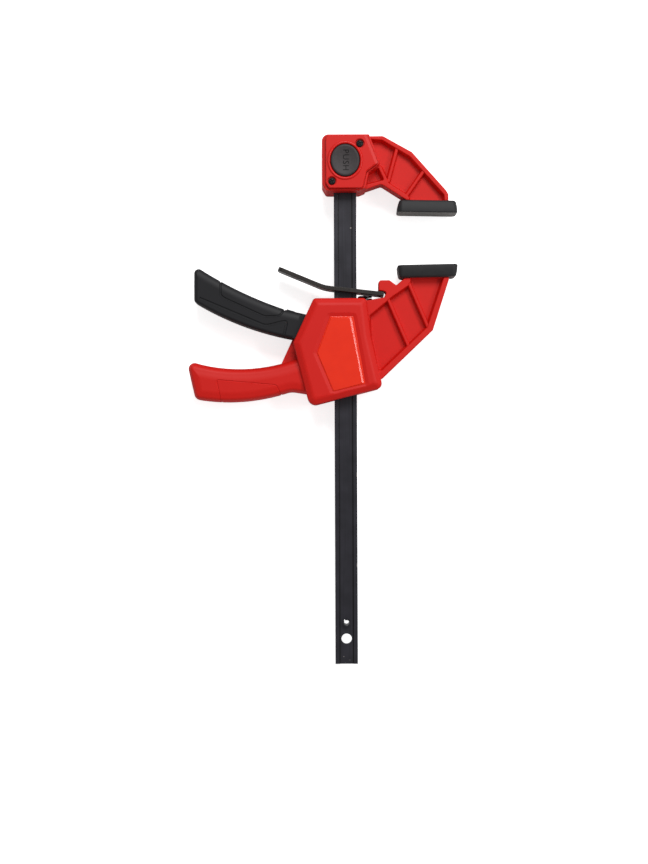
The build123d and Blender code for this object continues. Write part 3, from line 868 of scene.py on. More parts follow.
def turn(start: Point, radius: float, first: float, last: float, steps: int = 5) -> Profile:
    """A round part of a profile that changes its slope, its start left out.

    Args:
        start: where the curve starts.
        radius: its radius.
        first: its slope at the start, in degrees.
        last: its slope at the end.
        steps: how many chords it is drawn with.

    Returns:
        The curve's points.
    """
    curve = []
    for step in range(1, steps + 1):
        slope = radians(first + (last - first) * step / steps)
        across = radius * (sin(radians(first)) - sin(slope))
        curve.append((start[0] + across, start[1] + radius * (cos(slope) - cos(radians(first)))))
    return curve


def faced(profile: Profile, face: int) -> Profile:
    """A profile as it stands on the front, where face is 1, or on the back, where it is -1."""
    return [(inset, face * height) for inset, height in profile]


def both_faces(brow: Profile) -> Profile:
    """A profile that runs from its mirror image on the back up to itself on the front."""
    return [*reversed(faced(brow, -1)), *brow]


def slab_profile(low: float, high: float, radius: float) -> Profile:
    """A flat block's profile with both rims rounded.

    Args:
        low: height of its underside.
        high: height of its top.
        radius: radius of both rims.

    Returns:
        The profile, as insets and heights.
    """
    return [
        (radius, low),
        *bend((radius, low), (0, low + radius), wall_first=False),
        (0, high - radius),
        *bend((0, high - radius), (radius, high), wall_first=True),
    ]


def pocket_profile(floor: float, mouth: float, fillet: float, lip: float, draft: float) -> Profile:
    """A pocket's cutter, from its filleted floor up to a mouth with a rounded lip.

    Args:
        floor: height of the pocket's floor.
        mouth: height of the face that it opens in.
        fillet: radius round its floor.
        lip: radius of its lip.
        draft: how much the wall leans out from floor to mouth.

    Returns:
        The profile, as insets and heights.
    """
    way = 1 if mouth > floor else -1
    low, high = floor + way * fillet, mouth - way * lip
    return [
        (draft + fillet, floor),
        *bend((draft + fillet, floor), (draft, low), wall_first=False),
        (0, high),
        *bend((0, high), (-lip, mouth), wall_first=True),
        (-lip, mouth + way * OVER),
    ]


def place_in_scene(name: str, data: bpy.types.ID) -> bpy.types.Object:
    """Makes an object and links it to the scene.

    Args:
        name: the object's name.
        data: its mesh, text, lamp or camera.

    Returns:
        The new object.
    """
    made = bpy.data.objects.new(name, data)
    bpy.context.scene.collection.objects.link(made)
    return made


def skin(name: str, rings: list[list[Vector]]) -> bpy.types.Object:
    """Makes a closed mesh through a stack of rings, capped at both ends.

    Args:
        name: the piece's name.
        rings: rings with equal numbers of points, in metres in the row frame.

    Returns:
        The new object, linked to the scene.
    """
    mesh = bmesh.new()
    loops = [[mesh.verts.new(point) for point in ring] for ring in rings]
    for below, above in zip(loops, loops[1:]):
        for i in range(len(below)):
            j = (i + 1) % len(below)
            mesh.faces.new((below[i], below[j], above[j], above[i]))
    mesh.faces.new(reversed(loops[0]))
    mesh.faces.new(loops[-1])
    bmesh.ops.recalc_face_normals(mesh, faces=mesh.faces)
    data = bpy.data.meshes.new(name)
    mesh.to_mesh(data)
    mesh.free()
    return place_in_scene(name, data)


def shell(name: str, datum: Datum, outline: Outline, profile: Profile) -> bpy.types.Object:
    """Makes a solid from an outline and the profile of its edge.

    Args:
        name: the piece's name.
        datum: where its outline is drawn from.
        outline: its outline seen from the front.
        profile: insets and heights, from the bottom cap to the top one.

    Returns:
        The new object.
    """
    return skin(name, [[datum.at(x, y, z) for x, y in outline.ring(inset)] for inset, z in profile])


def prism(
    name: str, datum: Datum, outline: Outline, low: float, high: float, inset: float = 0.0
) -> bpy.types.Object:
    """Makes a solid with upright walls.

    Args:
        name: the piece's name.
        datum: where its outline is drawn from.
        outline: its outline seen from the front.
        low: height of its first cap.
        high: height of its other cap.
        inset: how far its walls lie inside the outline. Below 0 they lie outside.

    Returns:
        The new object.
    """
    return shell(name, datum, outline, [(inset, low), (inset, high)])


def bake(piece: bpy.types.Object) -> None:
    """Applies a piece's modifiers to its mesh.

    Args:
        piece: the object that changes.
    """
    graph = bpy.context.evaluated_depsgraph_get()
    made = bpy.data.meshes.new_from_object(piece.evaluated_get(graph))
    old, piece.data = piece.data, made
    piece.modifiers.clear()
    bpy.data.meshes.remove(old)


class Join(Enum):
    """How a tool acts on a piece."""

    CUT = "DIFFERENCE"
    ADD = "UNION"


def work(piece: bpy.types.Object, tools: list[bpy.types.Object], join: Join) -> None:
    """Cuts tools out of a piece, or adds them to it, and removes them.

    Args:
        piece: the object that changes.
        tools: the objects that shape it.
        join: what they do.
    """
    for tool in tools:
        modifier = piece.modifiers.new(tool.name, "BOOLEAN")
        modifier.operation = join.value
        modifier.object = tool
        modifier.solver = "EXACT"
    bake(piece)
    for tool in tools:
        bpy.data.objects.remove(tool)


def weld(mesh: bpy.types.Mesh) -> None:
    """Joins points that coincide and takes out the slivers that cuts leave.

    Args:
        mesh: the mesh that changes.
    """
    solid = bmesh.new()
    solid.from_mesh(mesh)
    bmesh.ops.remove_doubles(solid, verts=solid.verts, dist=WELD * MM)
    bmesh.ops.dissolve_degenerate(solid, edges=solid.edges, dist=WELD * MM)
    solid.to_mesh(mesh)
    solid.free()


def dress(
    piece: bpy.types.Object,
    material: bpy.types.Material,
    body: Body,
    nodes: list[str],
    crease: float = 32.0,
) -> None:
    """Finishes a piece: smooth shading, material, body and the nodes that it stands for.

    Args:
        piece: the finished mesh.
        material: its finish.
        body: the body that it moves with.
        nodes: the CAD nodes that it stands for.
        crease: edges that turn by more degrees than this stay sharp.
    """
    mesh = piece.data
    weld(mesh)
    mesh.shade_smooth()
    mesh.set_sharp_from_angle(angle=radians(crease))
    weighted = piece.modifiers.new("weighted", "WEIGHTED_NORMAL")
    weighted.keep_sharp = True
    bake(piece)
    piece.data.materials.clear()
    piece.data.materials.append(material)
    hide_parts(*nodes)
    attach(piece, body.value)
    LOG.info("%s stands for %s: %d faces", piece.name, ", ".join(nodes), len(piece.data.polygons))


def tube(name: str, path: list[Vector], radius: float, sides: int = 12) -> bpy.types.Object:
    """Makes a round rod along a path.

    Args:
        name: the piece's name.
        path: its centreline in metres.
        radius: its radius in millimetres.
        sides: how many sides it is drawn with.

    Returns:
        The new object.
    """
    rings = []
    side = (path[1] - path[0]).orthogonal().normalized()
    for i, spot in enumerate(path):
        along = (path[min(i + 1, len(path) - 1)] - path[max(i - 1, 0)]).normalized()
        side = (side - along * side.dot(along)).normalized()
        other = along.cross(side)
        angles = [2 * pi * step / sides for step in range(sides)]
        rings.append([spot + (side * cos(a) + other * sin(a)) * radius * MM for a in angles])
    return skin(name, rings)


@dataclass(frozen=True)
class Groove:
    """A fine round groove that follows a piece's skin, alike on its front and its back.

    Attributes:
        line: its course in plan, both ends off the piece where it runs over the edge.
        radius: radius of its round bottom.
        depth: how deep it lies in the skin.
        over: whether it runs over the edge and joins front and back.
        ease: how often its corners are eased.
        pitch: distance between its points.
        above: how high over the middle the rays down on a face start.
        off: how far outside the piece the rays towards its edge start.
        reach: how far the rays look.
        facing: the least cosine between a ray and the skin that it may hit.
    """

    line: tuple[Point, ...]
    radius: float
    depth: float
    over: bool = True
    ease: int = 2
    pitch: float = 1.1
    above: float = 40.0
    off: float = 6.0
    reach: float = 100.0
    facing: float = 0.7

    def spots(self) -> list[Vector]:
        """Points along the line in plan, its corners eased.

        Returns:
            The points in millimetres.
        """
        spots = []
        for start, end in zip(self.line, self.line[1:]):
            steps = max(1, round((Vector(end) - Vector(start)).length / self.pitch))
            spots += [Vector(start).lerp(Vector(end), i / steps) for i in range(steps)]
        spots.append(Vector(self.line[-1]))
        for _ in range(self.ease):
            eased = [(a + b * 2 + c) / 4 for a, b, c in zip(spots, spots[1:], spots[2:])]
            spots = [spots[0], *eased, spots[-1]]
        return spots

    def course(self, tree: BVHTree, datum: Datum, face: int) -> list[Vector]:
        """The groove's centreline over one face.

        Args:
            tree: the piece's skin.
            datum: where the line is measured from.
            face: 1 on the front, -1 on the back.

        Returns:
            Points in metres.
        """
        spots = self.spots()
        down = Vector((0, 0, -face))
        rays = [(datum.at(spot.x, spot.y, self.above * face), down) for spot in spots]
        if self.over:
            heights = [-0.4, *[0.8 + self.pitch * i for i in range(14)]]  # from just past the middle up
            for end, inner in ((spots[0], spots[2]), (spots[-1], spots[-3])):
                way = (inner - end).normalized()
                start = end - way * self.off
                wall = [(datum.at(start.x, start.y, z * face), way.to_3d()) for z in heights]
                rays = [*wall, *rays] if end is spots[0] else [*rays, *reversed(wall)]
        path: list[Vector] = []
        for origin, way in rays:
            hit, normal, _, _ = tree.ray_cast(origin, way, self.reach * MM)
            if hit is None or -normal.dot(way) < self.facing:
                continue
            point = hit + normal * (self.radius - self.depth) * MM
            if not path or (point - path[-1]).length > self.pitch * 0.3 * MM:
                path.append(point)
        return path

    def cut(self, piece: bpy.types.Object, datum: Datum) -> None:
        """Cuts the groove in both faces of a piece.

        Args:
            piece: the object that changes.
            datum: where the line is measured from.
        """
        mesh = piece.data
        tree = BVHTree.FromPolygons([v.co for v in mesh.vertices], [p.vertices for p in mesh.polygons])
        tools = [tube("groove", self.course(tree, datum, face), self.radius) for face in (1, -1)]
        work(piece, tools, Join.CUT)


# ------------------------------------------------------------------ bar


@dataclass(frozen=True)
class Bar:
    """The flat bar, the pins and the drive plates, which keep their CAD shapes."""

    finishes: Finishes

    def build(self) -> None:
        """Gives each of them its finish."""
        looks = {
            "bar": (self.finishes.bar, Slot.BAR),
            "stop_pin": (self.finishes.spring, Slot.PLAIN),
            "lock_pin": (self.finishes.plate, Slot.PLAIN),
            "trigger_pin": (self.finishes.plate, Slot.PLAIN),
            "drive_plate_upper": (self.finishes.plate, Slot.PLATE),
            "drive_plate_lower": (self.finishes.plate, Slot.PLATE),
        }
        for node, (material, slot) in looks.items():
            piece = frame["nodes"][node]
            piece.data.materials.clear()
            piece.data.materials.append(material)
            LOG.info("%s keeps its shape", node)


# ------------------------------------------------------------------ pads, screws, springs


@dataclass(frozen=True)
class Pad:
    """A solid rubber pad pressed on a jaw's foot: crisp at its clamping face, soft at its back."""

    finishes: Finishes
    node: str
    body: Body
    datum: Datum
    way: int  # 1 where the pad's back is up, -1 where it is down
    lean: float = 1.1
    length: float = 45.4
    width: float = 24.0
    thickness: float = 9.5
    corner: float = 4.0
    front_rim: tuple[Point, ...] = ((1.3, 0.0), (0.7, 0.07), (0.25, 0.35))
    swell: tuple[Point, ...] = ((0.0, 1.0), (0.2, 3.5), (0.48, 5.5), (0.95, 7.3))  # its bulging side
    back_rim: float = 2.2
    rubbed: float = 0.2  # depth behind its clamping face up to which it is rubbed pale
    foot_length: float = 33.2
    foot_width: float = 12.2
    foot_depth: float = 4.6

    def spot(self, x: float, z: float, depth: float) -> Vector:
        """A point of the pad in the row frame.

        Args:
            x: distance outwards from the middle of its clamping face.
            z: height above the middle of that face.
            depth: distance behind that face.

        Returns:
            The point in metres.
        """
        tilt = radians(self.lean)
        across = x * cos(tilt) + depth * sin(tilt)
        up = (depth * cos(tilt) - x * sin(tilt)) * self.way
        return self.datum.at(THROAT + across, up, z)

    def stack(self, name: str, outline: Outline, profile: Profile) -> bpy.types.Object:
        """Makes a solid from a plan square to the pad's depth.

        Args:
            name: the solid's name.
            outline: its outline on the clamping face.
            profile: insets and depths.

        Returns:
            The new object.
        """
        rings = [[self.spot(x, z, depth) for x, z in outline.ring(inset)] for inset, depth in profile]
        return skin(name, rings)

    def build(self) -> None:
        """Makes the pad, hollowed for the jaw's foot."""
        plan = block(-self.length / 2, self.length / 2, -self.width / 2, self.width / 2, self.corner)
        shoulder = self.swell[-1]
        rim = bend(shoulder, (shoulder[0] + self.back_rim, self.thickness), wall_first=True)
        profile = [*self.front_rim, *self.swell, *rim]
        piece = self.stack(f"{self.node}_rubber", plan, profile)
        half_length, half_width = self.foot_length / 2, self.foot_width / 2
        hole = block(-half_length, half_length, -half_width, half_width)
        depths = [(0, self.thickness - self.foot_depth), (0, self.thickness + OVER)]
        work(piece, [self.stack("foot_hollow", hole, depths)], Join.CUT)
        dress(piece, self.finishes.rubber, self.body, [self.node])
        piece.data.materials.append(self.finishes.pad_face)
        ends = [self.spot(0, 0, depth) for depth in (0, 1)]
        back = (ends[1] - ends[0]).normalized()
        for polygon in piece.data.polygons:
            if (polygon.center - ends[0]).dot(back) < self.rubbed * MM:
                polygon.material_index = 1


@dataclass(frozen=True)
class Screw:
    """A pan head screw with a cross recess."""

    head_radius: float = 3.2
    head_height: float = 2.0
    shank_radius: float = 1.75
    point_radius: float = 0.2
    point_length: float = 2.0
    crown: Point = (1.5, 0.9)  # how much of its head's radius and height is rounded
    dome: Point = (2.6, 0.08)  # inset and rise of its head's middle
    cross_reach: float = 1.8
    cross_width: float = 0.9
    cross_depth: float = 1.3
    cross_taper: Point = (0.25, 0.4)  # how much it narrows, and from how far below its mouth
    cross_angle: float = 0.5  # in radians, from +X
    recess_gap: float = 0.2  # round its head
    recess_lip: Point = (0.5, 0.45)  # how far the recess is rounded out, and from how far down

    def build(
        self, name: str, datum: Datum, x: float, y: float, seat: float, face: int, length: float
    ) -> bpy.types.Object:
        """Makes one screw.

        Args:
            name: the piece's name.
            datum: where its place is measured from.
            x: its axis across the bar.
            y: its axis along the bar.
            seat: height of its head's underside.
            face: 1 where its head points up, -1 where it points down.
            length: how far its shank reaches back from the seat.

        Returns:
            The new object.
        """
        head, shank, top = self.head_radius, self.shank_radius, self.head_height
        brow = (0.0, top - self.crown[1])
        profile = [
            (head - self.point_radius, -length),
            (head - shank, -length + self.point_length),
            (head - shank, 0.0),
            (0.0, 0.0),
            brow,
            *bend(brow, (self.crown[0], top), wall_first=True),
            (self.dome[0], top + self.dome[1]),
        ]
        piece = shell(name, datum, circle(x, y, head), [(i, face * (seat + z)) for i, z in profile])
        narrow, drop = self.cross_taper
        depths = [(narrow, top - self.cross_depth), (0.0, top - drop), (0.0, top + OVER)]
        slots = []
        for angle in (self.cross_angle, self.cross_angle + pi / 2):
            spot, run = Vector((x, y)), Vector((cos(angle), sin(angle))) * self.cross_reach
            cross = strip(spot - run, spot + run, self.cross_width)
            slots.append(shell("cross", datum, cross, [(i, face * (seat + z)) for i, z in depths]))
        work(piece, slots, Join.CUT)
        return piece

    def sink(
        self, datum: Datum, x: float, y: float, seat: float, mouth: float, face: int
    ) -> bpy.types.Object:
        """Makes the cutter of the recess that the head sits in.

        Args:
            datum: where its place is measured from.
            x: its axis across the bar.
            y: its axis along the bar.
            seat: height of the head's underside.
            mouth: height of the face that it is cut in.
            face: 1 on the front, -1 on the back.

        Returns:
            The cutter.
        """
        out, drop = self.recess_lip
        lip = bend((0, mouth - drop), (-out, mouth), wall_first=True)
        profile = [(0, seat), (0, mouth - drop), *lip, (-out, mouth + 2 * OVER)]
        return shell("recess", datum, circle(x, y, self.head_radius + self.recess_gap), faced(profile, face))

    def way(self, datum: Datum, x: float, y: float, low: float, high: float) -> bpy.types.Object:
        """Makes the cutter of the hole that the shank passes through."""
        return prism("screw_way", datum, circle(x, y, self.shank_radius + FIT), low, high)


@dataclass(frozen=True)
class Coil:
    """A compression spring of round wire with closed ends.

    Attributes:
        node: the CAD node that it stands for.
        body: the body that carries it.
        joint: the joint that presses it together. Not used.
        axis: direction from its fixed end to its moving end.
        turns: number of turns.
        wire: wire diameter.
        keep: share of its length left at the joint's limit. Not used.
    """

    node: str
    body: Body
    joint: str
    axis: Vector
    turns: float
    wire: float
    keep: float
    closed: float = 0.9  # turns at each end that lie on the next
    chords: int = 28  # in one turn

    def path(self, foot: Vector, length: float, radius: float) -> list[Vector]:
        """The wire's centreline, close wound at both ends.

        Args:
            foot: middle of its fixed end, in millimetres.
            length: the spring's length.
            radius: radius of its centreline.

        Returns:
            Points in metres.
        """
        side = self.axis.orthogonal().normalized()
        other = self.axis.cross(side)
        steps = round(self.turns * self.chords)
        climb = length - self.wire * (1 + self.closed)
        points = []
        for step in range(steps + 1):
            turned = self.turns * step / steps
            share = min(max((turned - self.closed) / (self.turns - 2 * self.closed), 0), 1)
            ends = min(turned, self.closed) + max(turned - self.turns + self.closed, 0)
            rise = self.wire / 2 * (1 + ends) + climb * share
            spoke = side * cos(2 * pi * turned) + other * sin(2 * pi * turned)
            points.append((foot + spoke * radius + self.axis * rise) * MM)
        return points

    def build(self, finishes: Finishes) -> None:
        """Makes the spring in its CAD node's box.

        Args:
            finishes: the clamp's materials.
        """
        low, high = box_mm(self.node)
        middle = (low + high) / 2
        length = abs((high - low).dot(self.axis))
        across = min(size for size, a in zip(high - low, self.axis) if abs(a) < 0.5)
        foot = middle - self.axis * length / 2
        piece = tube(f"{self.node}_wire", self.path(foot, length, (across - self.wire) / 2), self.wire / 2)
        dress(piece, finishes.spring, self.body, [self.node])
        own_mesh(piece)


# ------------------------------------------------------------------ arms


@dataclass(frozen=True)
class Arm:
    """A ribbed arm: flanges round a thin web, open at its pad, with slanting ribs across the bays.

    Attributes:
        name: the moulding's name.
        datum: where its outlines are drawn from.
        outline: its outer edge.
        bays: the pockets between its flanges.
        ribs: the two ends of each rib's middle line.
        foot_end: how far from the pad's face the foot ends, inside the arm.
        way: 1 where the arm lies above its pad, -1 where it lies below.
    """

    name: str
    datum: Datum
    outline: Outline
    bays: tuple[Outline, ...]
    ribs: tuple[tuple[Point, Point], ...]
    way: int
    half: float = 8.0
    web_half: float = 2.0
    rim: float = 0.9
    bay_fillet: float = 0.9
    bay_lip: float = 0.7
    bay_draft: float = 0.95
    rib_width: float = 3.1
    rib_drop: float = 0.8
    rib_foot: float = 1.0  # radius where a rib meets the web
    rib_root: float = 0.6  # how deep a rib stands in the web
    rib_skirt: float = 0.53  # height from there to its foot's curve
    rib_corner: float = 0.3
    rib_draft: float = 0.3
    rib_crown: Point = (1.15, 0.8)  # inset of its flat top, and how far down its rim starts
    foot_ends: Point = (5.1, 9.65)
    foot_half: Point = (16.5, 6.0)

    def rib(self, start: Point, end: Point, face: int) -> bpy.types.Object:
        """Makes a stiffening rib that stands on one side of the web.

        Args:
            start: one end of its middle line.
            end: the other end.
            face: 1 on the front, -1 on the back.

        Returns:
            The new object.
        """
        outline = strip(start, end, self.rib_width, self.rib_corner)
        foot, low, high = self.rib_foot, self.web_half - self.rib_root, self.half - self.rib_drop
        skirt, brow = low + self.rib_skirt, (self.rib_draft, high - self.rib_crown[1])
        profile = [
            (-foot, low),
            (-foot, skirt),
            *bend((-foot, skirt), (0, skirt + foot), wall_first=False),
            brow,
            *bend(brow, (self.rib_crown[0], high), wall_first=True),
        ]
        return shell("rib", self.datum, outline, faced(profile, face))

    def build(self) -> bpy.types.Object:
        """Makes the arm with its webs, ribs and the foot for the pad.

        Returns:
            The new object.
        """
        piece = shell(self.name, self.datum, self.outline, slab_profile(-self.half, self.half, self.rim))
        cutters, ribs = [], []
        for face in (1, -1):
            floor, mouth = face * self.web_half, face * self.half
            profile = pocket_profile(floor, mouth, self.bay_fillet, self.bay_lip, self.bay_draft)
            cutters += [shell("bay", self.datum, bay, profile) for bay in self.bays]
            ribs += [self.rib(start, end, face) for start, end in self.ribs]
        work(piece, cutters, Join.CUT)
        reach, height = self.foot_half
        low, high = sorted(end * self.way for end in self.foot_ends)
        foot = block(THROAT - reach, THROAT + reach, low, high)
        work(piece, [*ribs, prism("foot", self.datum, foot, -height, height)], Join.ADD)
        return piece


# ------------------------------------------------------------------ fixed jaw


HEAD_PLATE = (
    (-14.6, 57.5, 3.2),
    (-14.6, 21.6, 1.2),
    (-12.0, 17.6, 1.8),
    (12.2, 17.6, 0.8),
    (13.5, 18.9, 0.8),
    (16.1, 30.2, 1.0),
    (24.9, 36.6, 2.0),
    (16.6, 57.5, 1.0),
)


@dataclass(frozen=True)
class FixedJaw:
    """The red head with its ribbed arm, cover plate, screws, button and pad."""

    finishes: Finishes
    plate: float = 3.0
    rim: float = 0.7
    socket_ends: Point = (10.0, 54.1)  # of the bar's way along it
    button_width: float = 21.6
    button_height: float = 24.0
    button_y: float = 38.4
    button_proud: float = 1.6
    button_floor: float = SLAB + 6.1
    button_wall: float = 1.8
    button_skin: float = 2.6
    button_rim: Point = (1.2, 1.3)  # how far it is rounded inwards and down
    post: Point = (3.9, 2.01)  # radius outside and of its bore
    post_top: float = 2.0  # how far below the rim it ends, within the skin
    well_gap: float = 0.3
    well_floor: float = SLAB + 2.0
    hole_gap: float = 0.45
    collar_band: float = 2.7
    collar_rise: float = 0.05  # of its outer foot over the plate
    collar_round: float = 1.2
    collar_slope: float = 75.0  # where it starts and ends, in degrees
    pin_way: float = 4.0  # radius, and so is the neck's
    pin_way_ends: Point = (-13.0, 0.5)
    neck_way: float = 2.2
    screw_places: tuple[Point, ...] = ((11.0, 51.1), (-10.0, 22.9))
    screw_seat: float = SIDE - 1.8
    screw_length: float = 10.0
    screw_hole: float = 9.5  # its depth in the block
    word_height: float = 4.5
    word_font: float = 1.42  # font size for capitals of height 1
    word_spacing: float = 1.1
    word_thinning: float = 0.02
    word_x: float = 0.3
    word_depth: float = 0.35
    letter_shade_sink: float = 0.05  # how far the painted shade reaches into the letters' floor
    dish_depth: float = 1.2
    dish_reach: float = 0.87  # share of the way to the edge where the dish starts
    parting: float = 0.4  # gap round the cover plate
    parting_depth: float = 0.5

    def arm(self) -> bpy.types.Object:
        """Makes the arm that reaches out over the fixed pad.

        Returns:
            The new object.
        """
        outline = Outline(
            (
                (78.1, 9.2, 0.4),
                (78.1, 14.2, 1.5),
                (76.2, 17.3, 2.0),
                (50.6, 46.1, 3.0),
                (28.8, 58.3, 3.0),
                (4.0, 58.1, 0.5),
                (4.0, 17.0, 0.5),
                (11.0, 16.2, 1.0),
                (27.4, 21.8, 3.0),
                (46.2, 9.8, 0.4),
            )
        )
        bay = Outline(
            (
                (20.0, 40.0, 0.8),
                (27.4, 35.1, 1.0),
                (31.7, 25.9, 1.0),
                (33.0, 22.6, 1.2),
                (45.8, 14.6, 1.2),
                (48.4, 11.8, 1.2),
                (48.6, 8.0, 0.0),
                (75.0, 8.0, 0.0),
                (74.8, 13.6, 1.5),
                (49.0, 42.7, 2.0),
                (28.0, 55.2, 1.5),
                (17.0, 56.0, 0.6),
            )
        )
        nook = Outline(((17.7, 30.7, 0.8), (14.8, 21.4, 0.8), (29.4, 25.1, 1.0), (25.2, 34.2, 1.0)))
        ribs = (((39.6, 50.0), (32.3, 23.0)), ((60.0, 32.7), (45.8, 12.5)))
        return Arm("fixed_jaw_moulding", FIXED, outline, (bay, nook), ribs, 1).build()

    def frame_shape(self) -> None:
        """Makes the red frame: arm and head block in one moulding."""
        piece = self.arm()
        head = Outline(
            (
                (-17.4, 58.5, 5.0),
                (-17.4, 21.4, 1.5),
                (-14.3, 16.2, 2.5),
                (10.8, 16.2, 1.0),
                (15.4, 18.1, 1.2),
                (17.7, 29.4, 1.5),
                (26.5, 36.6, 2.0),
                (18.1, 58.5, 1.2),
            )
        )
        top = SIDE - self.plate
        work(piece, [shell("head_block", FIXED, head, slab_profile(-SIDE, top, self.rim))], Join.ADD)
        socket = block(-BAR_HALF - FIT, BAR_HALF + FIT, *self.socket_ends)
        plate = Outline(HEAD_PLATE)
        tools = [
            prism("socket", FIXED, socket, -SLAB - FIT, SLAB + FIT),
            prism("well", FIXED, self.button_oval(self.well_gap), self.well_floor, SIDE),
            prism("pin_way", FIXED, circle(0, self.button_y, self.pin_way), *self.pin_way_ends),
            prism("neck_way", FIXED, circle(0, self.button_y, self.neck_way), 0.0, self.well_floor + OVER),
            prism("parting", FIXED, plate, top - self.parting_depth, SIDE, -self.parting),
        ]
        tools += [Screw().way(FIXED, x, y, top - self.screw_hole, SIDE) for x, y in self.screw_places]
        work(piece, tools, Join.CUT)
        dress(piece, self.finishes.red, Body.BAR, ["fixed_jaw_frame"])

    def button_oval(self, gap: float) -> Outline:
        """The button's outline with a gap all round it, or inside it where the gap is below 0."""
        return oval(0, self.button_y, self.button_width + 2 * gap, self.button_height + 2 * gap)

    def cover(self) -> None:
        """Makes the cover plate with its collar, its screw recesses and its broad right-hand bevel."""
        outline = Outline(HEAD_PLATE, shares=(0.8, 0.8, 0.8, 0.8, 1.0, 1.2, 3.2, 0.9))
        low = SIDE - self.plate - self.parting_depth + SEAM
        profile = [(0.0, low), (0.0, SIDE - 0.75), (0.08, SIDE - 0.55), (0.7, SIDE - 0.05), (0.8, SIDE)]
        piece = shell("head_cover_plate", FIXED, outline, profile)
        start, slope = (0.0, SIDE + self.collar_rise), self.collar_slope
        ring = [(0.0, SIDE - 1.0), start, *turn(start, self.collar_round, slope, -slope, steps=14)]
        work(piece, [shell("collar", FIXED, self.button_oval(self.collar_band), ring)], Join.ADD)
        tools = [prism("button_hole", FIXED, self.button_oval(self.hole_gap), low - OVER, SIDE + 3 * OVER)]
        for x, y in self.screw_places:
            tools.append(Screw().sink(FIXED, x, y, self.screw_seat, SIDE, 1))
            tools.append(Screw().way(FIXED, x, y, low - OVER, SIDE))
        work(piece, tools, Join.CUT)
        dress(piece, self.finishes.head_red, Body.BAR, ["head_cover"], crease=12.0)

    def screws(self) -> None:
        """Makes the two cover screws."""
        low_head = Screw(head_radius=2.7, head_height=1.1, cross_depth=0.8)
        for i, (x, y) in enumerate(self.screw_places):
            name = f"head_screw_{i + 1}"
            piece = low_head.build(name, FIXED, x, y, self.screw_seat, 1, self.screw_length)
            dress(piece, self.finishes.screw, Body.BAR, ["head_cover_screws"])

    def dish(self, reach: float) -> float:
        """How far the button's face lies below its rim.

        Args:
            reach: distance from its middle, as a share of the way to its edge.

        Returns:
            The depth in millimetres.
        """
        return self.dish_depth * max(1 - (reach / self.dish_reach) ** 2, 0.0)

    def button(self) -> None:
        """Makes the dished release button with its PUSH word, the letters filled with painted shade."""
        face, floor = SIDE + self.button_proud, self.button_floor
        width, height = self.button_width, self.button_height
        inwards, drop = self.button_rim
        rim = bend((0.0, face - drop), (inwards, face), wall_first=True, steps=6)
        levels = [(1.0, floor), (1.0, face - drop), *[(1 - inset * 2 / width, z) for inset, z in rim]]
        levels += [(step / 20, face - self.dish(step / 20)) for step in range(17, 0, -2)]
        rings = [
            [FIXED.at(x, y, z) for x, y in oval(0, self.button_y, width * share, height * share).ring()]
            for share, z in levels
        ]
        piece = skin("push_button_cap", rings)
        ceiling = face - self.button_skin
        hollow = prism("hollow", FIXED, self.button_oval(-self.button_wall), floor - OVER, ceiling)
        work(piece, [hollow], Join.CUT)
        outside, bore = (circle(0, self.button_y, radius) for radius in self.post)
        post = prism("post", FIXED, outside, floor, face - self.post_top)
        work(post, [prism("bore", FIXED, bore, 0, ceiling)], Join.CUT)
        work(piece, [post], Join.ADD)
        bottom = face - self.word_depth
        work(piece, [self.word("letters", bottom, face + OVER)], Join.CUT)
        dress(piece, self.finishes.grey, Body.BUTTON, ["push_button"])
        # painted shade: a near-black fill in the engraved letters, where they lie in shadow
        paint = self.word("push_word_painted_shade", bottom - self.letter_shade_sink, face - self.word_depth * 0.4)
        dress(paint, self.finishes.paint, Body.BUTTON, ["push_button"])

    def word(self, name: str, low: float, high: float) -> bpy.types.Object:
        """Makes the solid letters of the button's word, reading down the bar and following its dish.

        Args:
            name: the piece's name.
            low: height of their underside at the rim.
            high: height of their top at the rim.

        Returns:
            The letters.
        """
        letters = bpy.data.curves.new(name, "FONT")
        letters.body = "PUSH"
        letters.size = self.word_height * self.word_font * MM
        letters.space_character = self.word_spacing
        letters.align_x = "CENTER"
        letters.align_y = "CENTER"
        letters.offset = -self.word_thinning * MM
        letters.extrude = (high - low) / 2 * MM
        letters.resolution_u = 3
        holder = place_in_scene(name, letters)
        graph = bpy.context.evaluated_depsgraph_get()
        mesh = bpy.data.meshes.new_from_object(holder.evaluated_get(graph))
        bpy.data.objects.remove(holder)
        weld(mesh)
        spot = FIXED.at(self.word_x, self.button_y, (low + high) / 2)
        mesh.transform(Matrix.Translation(spot) @ Matrix.Rotation(-pi / 2, 4, "Z"))
        middle = FIXED.at(0, self.button_y, 0)
        for vertex in mesh.vertices:
            off = (vertex.co - middle) / MM
            reach = hypot(off.x * 2 / self.button_width, off.y * 2 / self.button_height)
            vertex.co.z -= self.dish(reach) * MM
        return place_in_scene(name, mesh)

    def build(self) -> None:
        """Makes every piece of the fixed jaw."""
        self.frame_shape()
        self.cover()
        self.screws()
        self.button()
        Pad(self.finishes, "fixed_pad", Body.BAR, FIXED, 1).build()
        up = Vector((0, 0, 1))
        spring = Coil("button_spring", Body.BAR, "button_press", up, turns=3.5, wire=1.0, keep=0.6)
        spring.build(self.finishes)


# ------------------------------------------------------------------ moving jaw


